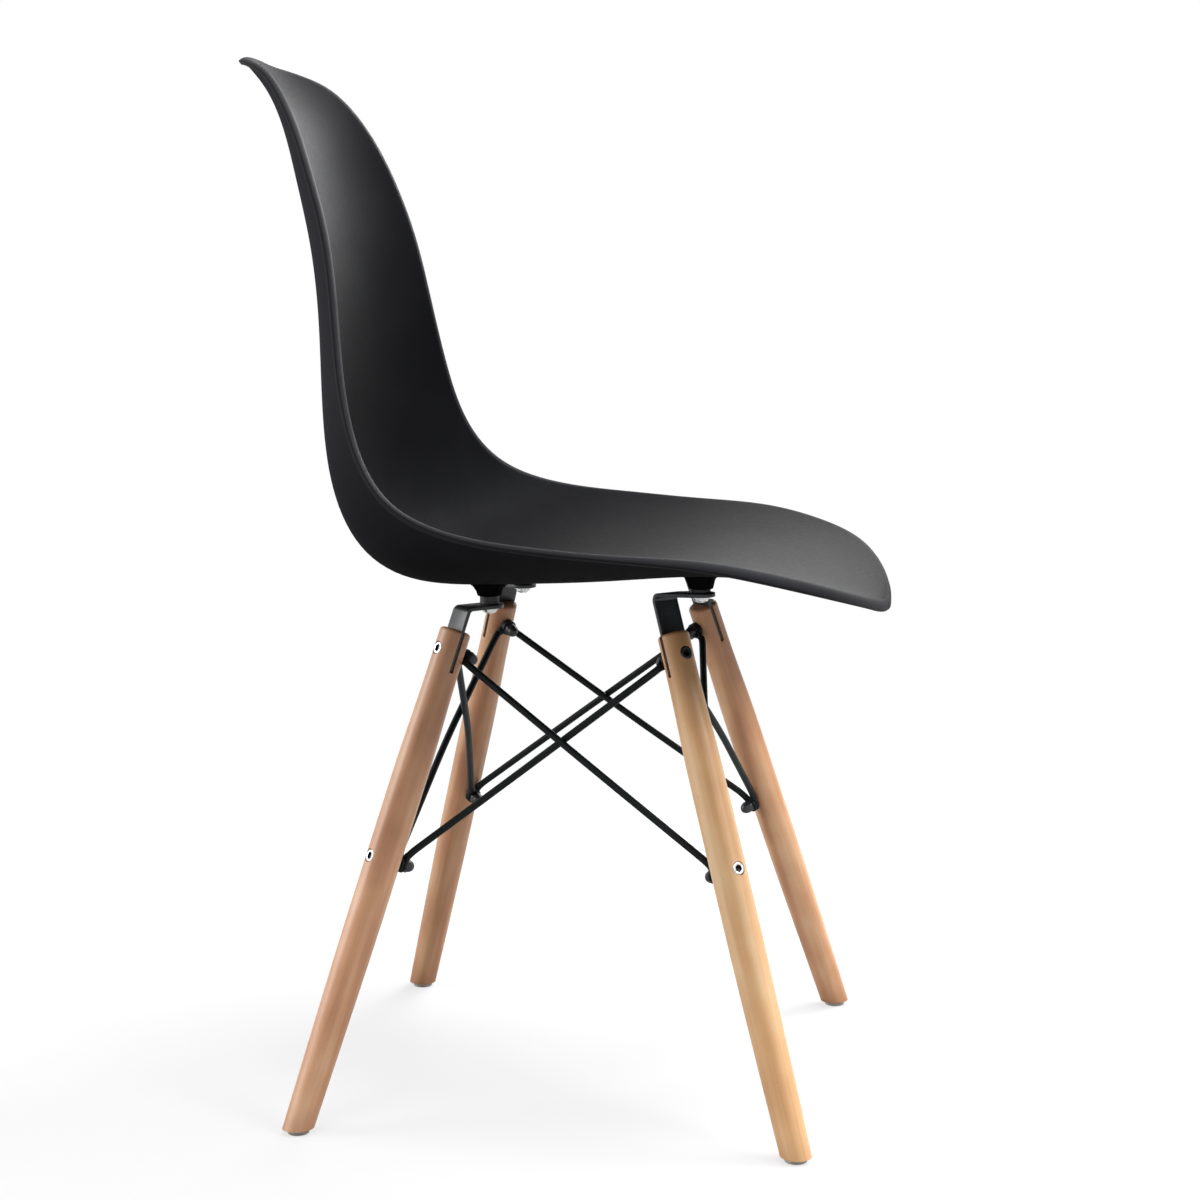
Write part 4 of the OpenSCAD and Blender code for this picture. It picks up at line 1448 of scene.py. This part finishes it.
@dataclass
class Brackets:
    """The four bent steel brackets, cut from strap and softened at the edges."""

    finish: Material
    soften: float = 0.45

    def softened(self, node: str, name: str) -> Object:
        """Copies a node, merges its loose triangles and rounds its sharp edges.

        Args:
            node: node that is copied.
            name: name of the new piece.

        Returns:
            The new piece.
        """
        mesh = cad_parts[node].data.copy()
        mesh.materials.clear()
        mesh.name = name
        with opened(mesh) as work:
            bmesh.ops.remove_doubles(work, verts=work.verts, dist=0.00001)
            bmesh.ops.dissolve_limit(work, angle_limit=math.radians(0.5), verts=work.verts,
                                     edges=work.edges)
            sharp = [e for e in work.edges
                     if len(e.link_faces) == 2 and e.calc_face_angle(0) > math.radians(40)]
            bmesh.ops.bevel(work, geom=sharp, offset=self.soften * MM, segments=3, profile=0.5,
                            affect="EDGES", clamp_overlap=True)
            bmesh.ops.triangulate(work, faces=[f for f in work.faces if len(f.verts) > 4])
            # The triangles come in a new order each run, so all faces are sorted by their corners
            work.verts.index_update()
            count = len(work.verts)
            work.faces.sort(key=lambda face: sum(
                place * count**k for k, place in enumerate(sorted(v.index for v in face.verts))
                if k < 3))
        if "custom_normal" in mesh.attributes:
            mesh.attributes.remove(mesh.attributes["custom_normal"])
        smooth(mesh, 35)
        return show(name, mesh)

    def build(self) -> None:
        """Copies each bracket, rounds its edges and dresses it."""
        for corner in Corner:
            node = corner.label + "_bracket"
            piece = self.softened(node, corner.label + "_strap")
            paint(piece, self.finish)
            report(piece, "black_steel", node)


@dataclass
class DowelLegs:
    """The four tapered dowel legs, each with its own run of grain and its tints, which on the far
    legs are partly painted shade.
    """

    tints_and_far_shade: tuple = (
        # The front left and rear left legs stand on the far side; their darker tints are partly
        # their own wood and partly painted shade
        ("#dab087", "#c89369", "#a26e4a", 11.0),
        ("#d3a67c", "#bd875e", "#966240", 37.0),
        ("#e0b590", "#ca9670", "#a57252", 71.0),
        ("#e4bf92", "#d7a775", "#b98759", 5.0),
    )

    def build(self) -> None:
        """Dresses the legs, which keep their own solids."""
        for corner, tint in zip(Corner, self.tints_and_far_shade):
            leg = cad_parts[corner.label + "_leg"]
            paint(leg, LacqueredBeech("lacquered_beech_" + corner.label, corner, *tint).make())
            LOG.info("%s: kept, dressed in beech", leg.name)


@dataclass
class Studio:
    """Pale floor, soft light and the camera at the photograph's view."""

    target: tuple[float, float, float] = (13.59 * MM, 0.0, 386.62 * MM)
    distance: float = 1841.06 * MM
    azimuth: float = 10.12
    elevation: float = 7.65
    roll: float = -0.50
    focal_px: float = 2290.0
    sensor: float = 36.0
    clip_end: float = 50.0
    floor_size: float = 40.0
    floor_tone: str = "#b6b6b8"
    floor_seen: str = "#dcdcdf"
    floor_lift: float = 0.7
    fade_from: float = 0.5
    fade_to: float = 1.4
    world_light: float = 0.1
    # Name, place, aim, width and height, power in watts, and the angle that a grid lets out
    soft_boxes: tuple = (
        ("front_top", (1.9, 0.3, 2.0), (0, 0, 0.5), (1.1, 1.1), 32, 180),
        ("middle_top", (0.9, 0.8, 2.3), (0, 0, 0.5), (0.9, 0.9), 56, 180),
        ("far_side", (0.3, 2.4, 1.6), (0, 0, 0.5), (1.4, 1.6), 34, 180),
        ("back_top", (0.35, 1.15, 1.15), (-0.22, 0.05, 0.95), (1.1, 0.4), 3.2, 34),
        ("overhead", (0.1, -0.45, 2.5), (0, 0, 0), (0.6, 0.6), 26, 180),
        ("left_side", (-2.6, -0.5, 1.15), (0, 0, 0.5), (1.5, 1.5), 58, 180),
        ("right_side", (2.3, -1.0, 2.1), (0, 0, 0.3), (1.0, 1.0), 42, 180),
    )

    def place_camera(self) -> None:
        """Puts the camera where the photograph was taken from."""
        data = bpy.data.cameras.new("view")
        data.sensor_width = self.sensor
        data.lens = self.focal_px / PHOTO_SIZE * self.sensor
        data.clip_end = self.clip_end
        camera = show("view", data)
        a, e, r = [math.radians(d) for d in (self.azimuth, self.elevation, self.roll)]
        back = Vector((math.sin(a) * math.cos(e), -math.cos(a) * math.cos(e), math.sin(e)))
        target = Vector(self.target) + Vector((LEGS.middle_x, 0, 0))
        right = (-back).cross(Vector((0, 0, 1))).normalized()
        up = right.cross(-back).normalized()
        right, up = (math.cos(r) * right + math.sin(r) * up,
                     math.cos(r) * up - math.sin(r) * right)
        turn = Matrix((right, up, back)).transposed().to_4x4()
        camera.matrix_world = Matrix.Translation(target + self.distance * back) @ turn
        bpy.context.scene.camera = camera

    def seen_directly(self, tree: NodeTree) -> Node:
        """Tells the rays that show the backdrop from those that only carry light.

        Args:
            tree: tree that gets the nodes.

        Returns:
            Node that gives 1 for camera, glossy and transmission rays.
        """
        ray = add(tree, "ShaderNodeLightPath").outputs
        first = add(tree, "ShaderNodeMath", {0: ray["Is Camera Ray"], 1: ray["Is Glossy Ray"]},
                    operation="MAXIMUM")
        return add(tree, "ShaderNodeMath", {0: first, 1: ray["Is Transmission Ray"]},
                   operation="MAXIMUM")

    def lay_floor(self) -> None:
        """Lays the pale floor, which fades into the white backdrop and is clear from below."""
        size = self.floor_size
        corners = [(-size, -size, 0), (size, -size, 0), (size, size, 0), (-size, size, 0)]
        floor = mesh_object("floor", corners, [(0, 1, 2, 3)])
        material = bpy.data.materials.new("pale_floor")
        tree = emptied(material)
        place = add(tree, "ShaderNodeTexCoord").outputs["Object"]
        reach = add(tree, "ShaderNodeVectorMath", {0: place}, operation="LENGTH")
        away = add(tree, "ShaderNodeMapRange", {
            "Value": reach, "From Min": self.fade_from, "From Max": self.fade_to},
            interpolation_type="SMOOTHSTEP")
        far = add(tree, "ShaderNodeMath", {0: self.seen_directly(tree), 1: away},
                  operation="MULTIPLY")
        camera = add(tree, "ShaderNodeLightPath").outputs["Is Camera Ray"]
        near = add(tree, "ShaderNodeMath", {0: camera, 1: self.floor_lift}, operation="MULTIPLY")
        share = add(tree, "ShaderNodeMath", {0: far, 1: near}, operation="MAXIMUM")
        tone = add(tree, "ShaderNodeMix", {
            0: camera, 6: linear(self.floor_tone), 7: linear(self.floor_seen)}, data_type="RGBA")
        matt = add(tree, "ShaderNodeBsdfDiffuse", {"Color": tone})
        white = add(tree, "ShaderNodeEmission", {"Color": WHITE, "Strength": 1.0})
        laid = add(tree, "ShaderNodeMixShader", {0: share, 1: matt, 2: white})
        below = add(tree, "ShaderNodeNewGeometry").outputs["Backfacing"]
        clear = add(tree, "ShaderNodeBsdfTransparent")
        both = add(tree, "ShaderNodeMixShader", {0: below, 1: laid, 2: clear})
        add(tree, "ShaderNodeOutputMaterial", {"Surface": both})
        paint(floor, material)

    def hang_lights(self) -> None:
        """Hangs the soft boxes."""
        for name, place, aim, (wide, high), power, spread in self.soft_boxes:
            data = bpy.data.lights.new(name, "AREA")
            data.shape = "RECTANGLE"
            data.size, data.size_y = wide, high
            data.energy, data.spread = power, math.radians(spread)
            lamp = show(name, data)
            lamp.location = place
            lamp.visible_camera = False
            way = Vector(aim) - Vector(place)
            lamp.rotation_euler = way.to_track_quat("-Z", "Y").to_euler()

    def light_world(self) -> None:
        """Gives the world a plain light that shows as white."""
        world = bpy.data.worlds.new("studio")
        tree = emptied(world)
        dim, white = [add(tree, "ShaderNodeBackground", {"Color": WHITE, "Strength": strength})
                      for strength in (self.world_light, 1.0)]
        mixed = add(tree, "ShaderNodeMixShader", {0: self.seen_directly(tree), 1: dim, 2: white})
        add(tree, "ShaderNodeOutputWorld", {"Surface": mixed})
        bpy.context.scene.world = world

    def build(self) -> None:
        """Builds the camera, floor and lights."""
        self.place_camera()
        self.lay_floor()
        self.hang_lights()
        self.light_world()
        bpy.context.scene.view_settings.view_transform = "Standard"


def main() -> None:
    """Builds the chair's looks in order, then the studio."""
    logging.basicConfig(level=logging.INFO, format="%(name)s: %(message)s")
    coat = PowderCoat().make()
    rod_coat = PowderCoat("dull_black_rod_coat", "#0d1213", "#161c1d", 0.5, 0.16).make()
    SeatShell(MouldedPolypropylene().make()).build()
    Brackets(coat).build()
    DowelLegs().build()
    BraceRods(RodTree(), rod_coat).build()
    Fasteners(
        CopyTree(),
        plated=PlatedSteel().make(),
        # One upper bolt head is drawn darker than the others
        dark_head=PlatedSteel("dark_bolt_head", "#3d4340", "#2c312f", 0.35).make(),
        coated=coat,
        bush=PlainPlastic("black_bush_plastic", "#151516", "#1d1d1e", 0.55).make(),
        brass=PlatedSteel("turned_brass", "#c9a25a", "#a98443", 0.3).make(),
        glide=PlainPlastic("grey_glide_plastic", "#c4c1ba", "#a8a59e", 0.45).make(),
    ).build()
    Studio().build()


if __name__ == "__main__":
    main()
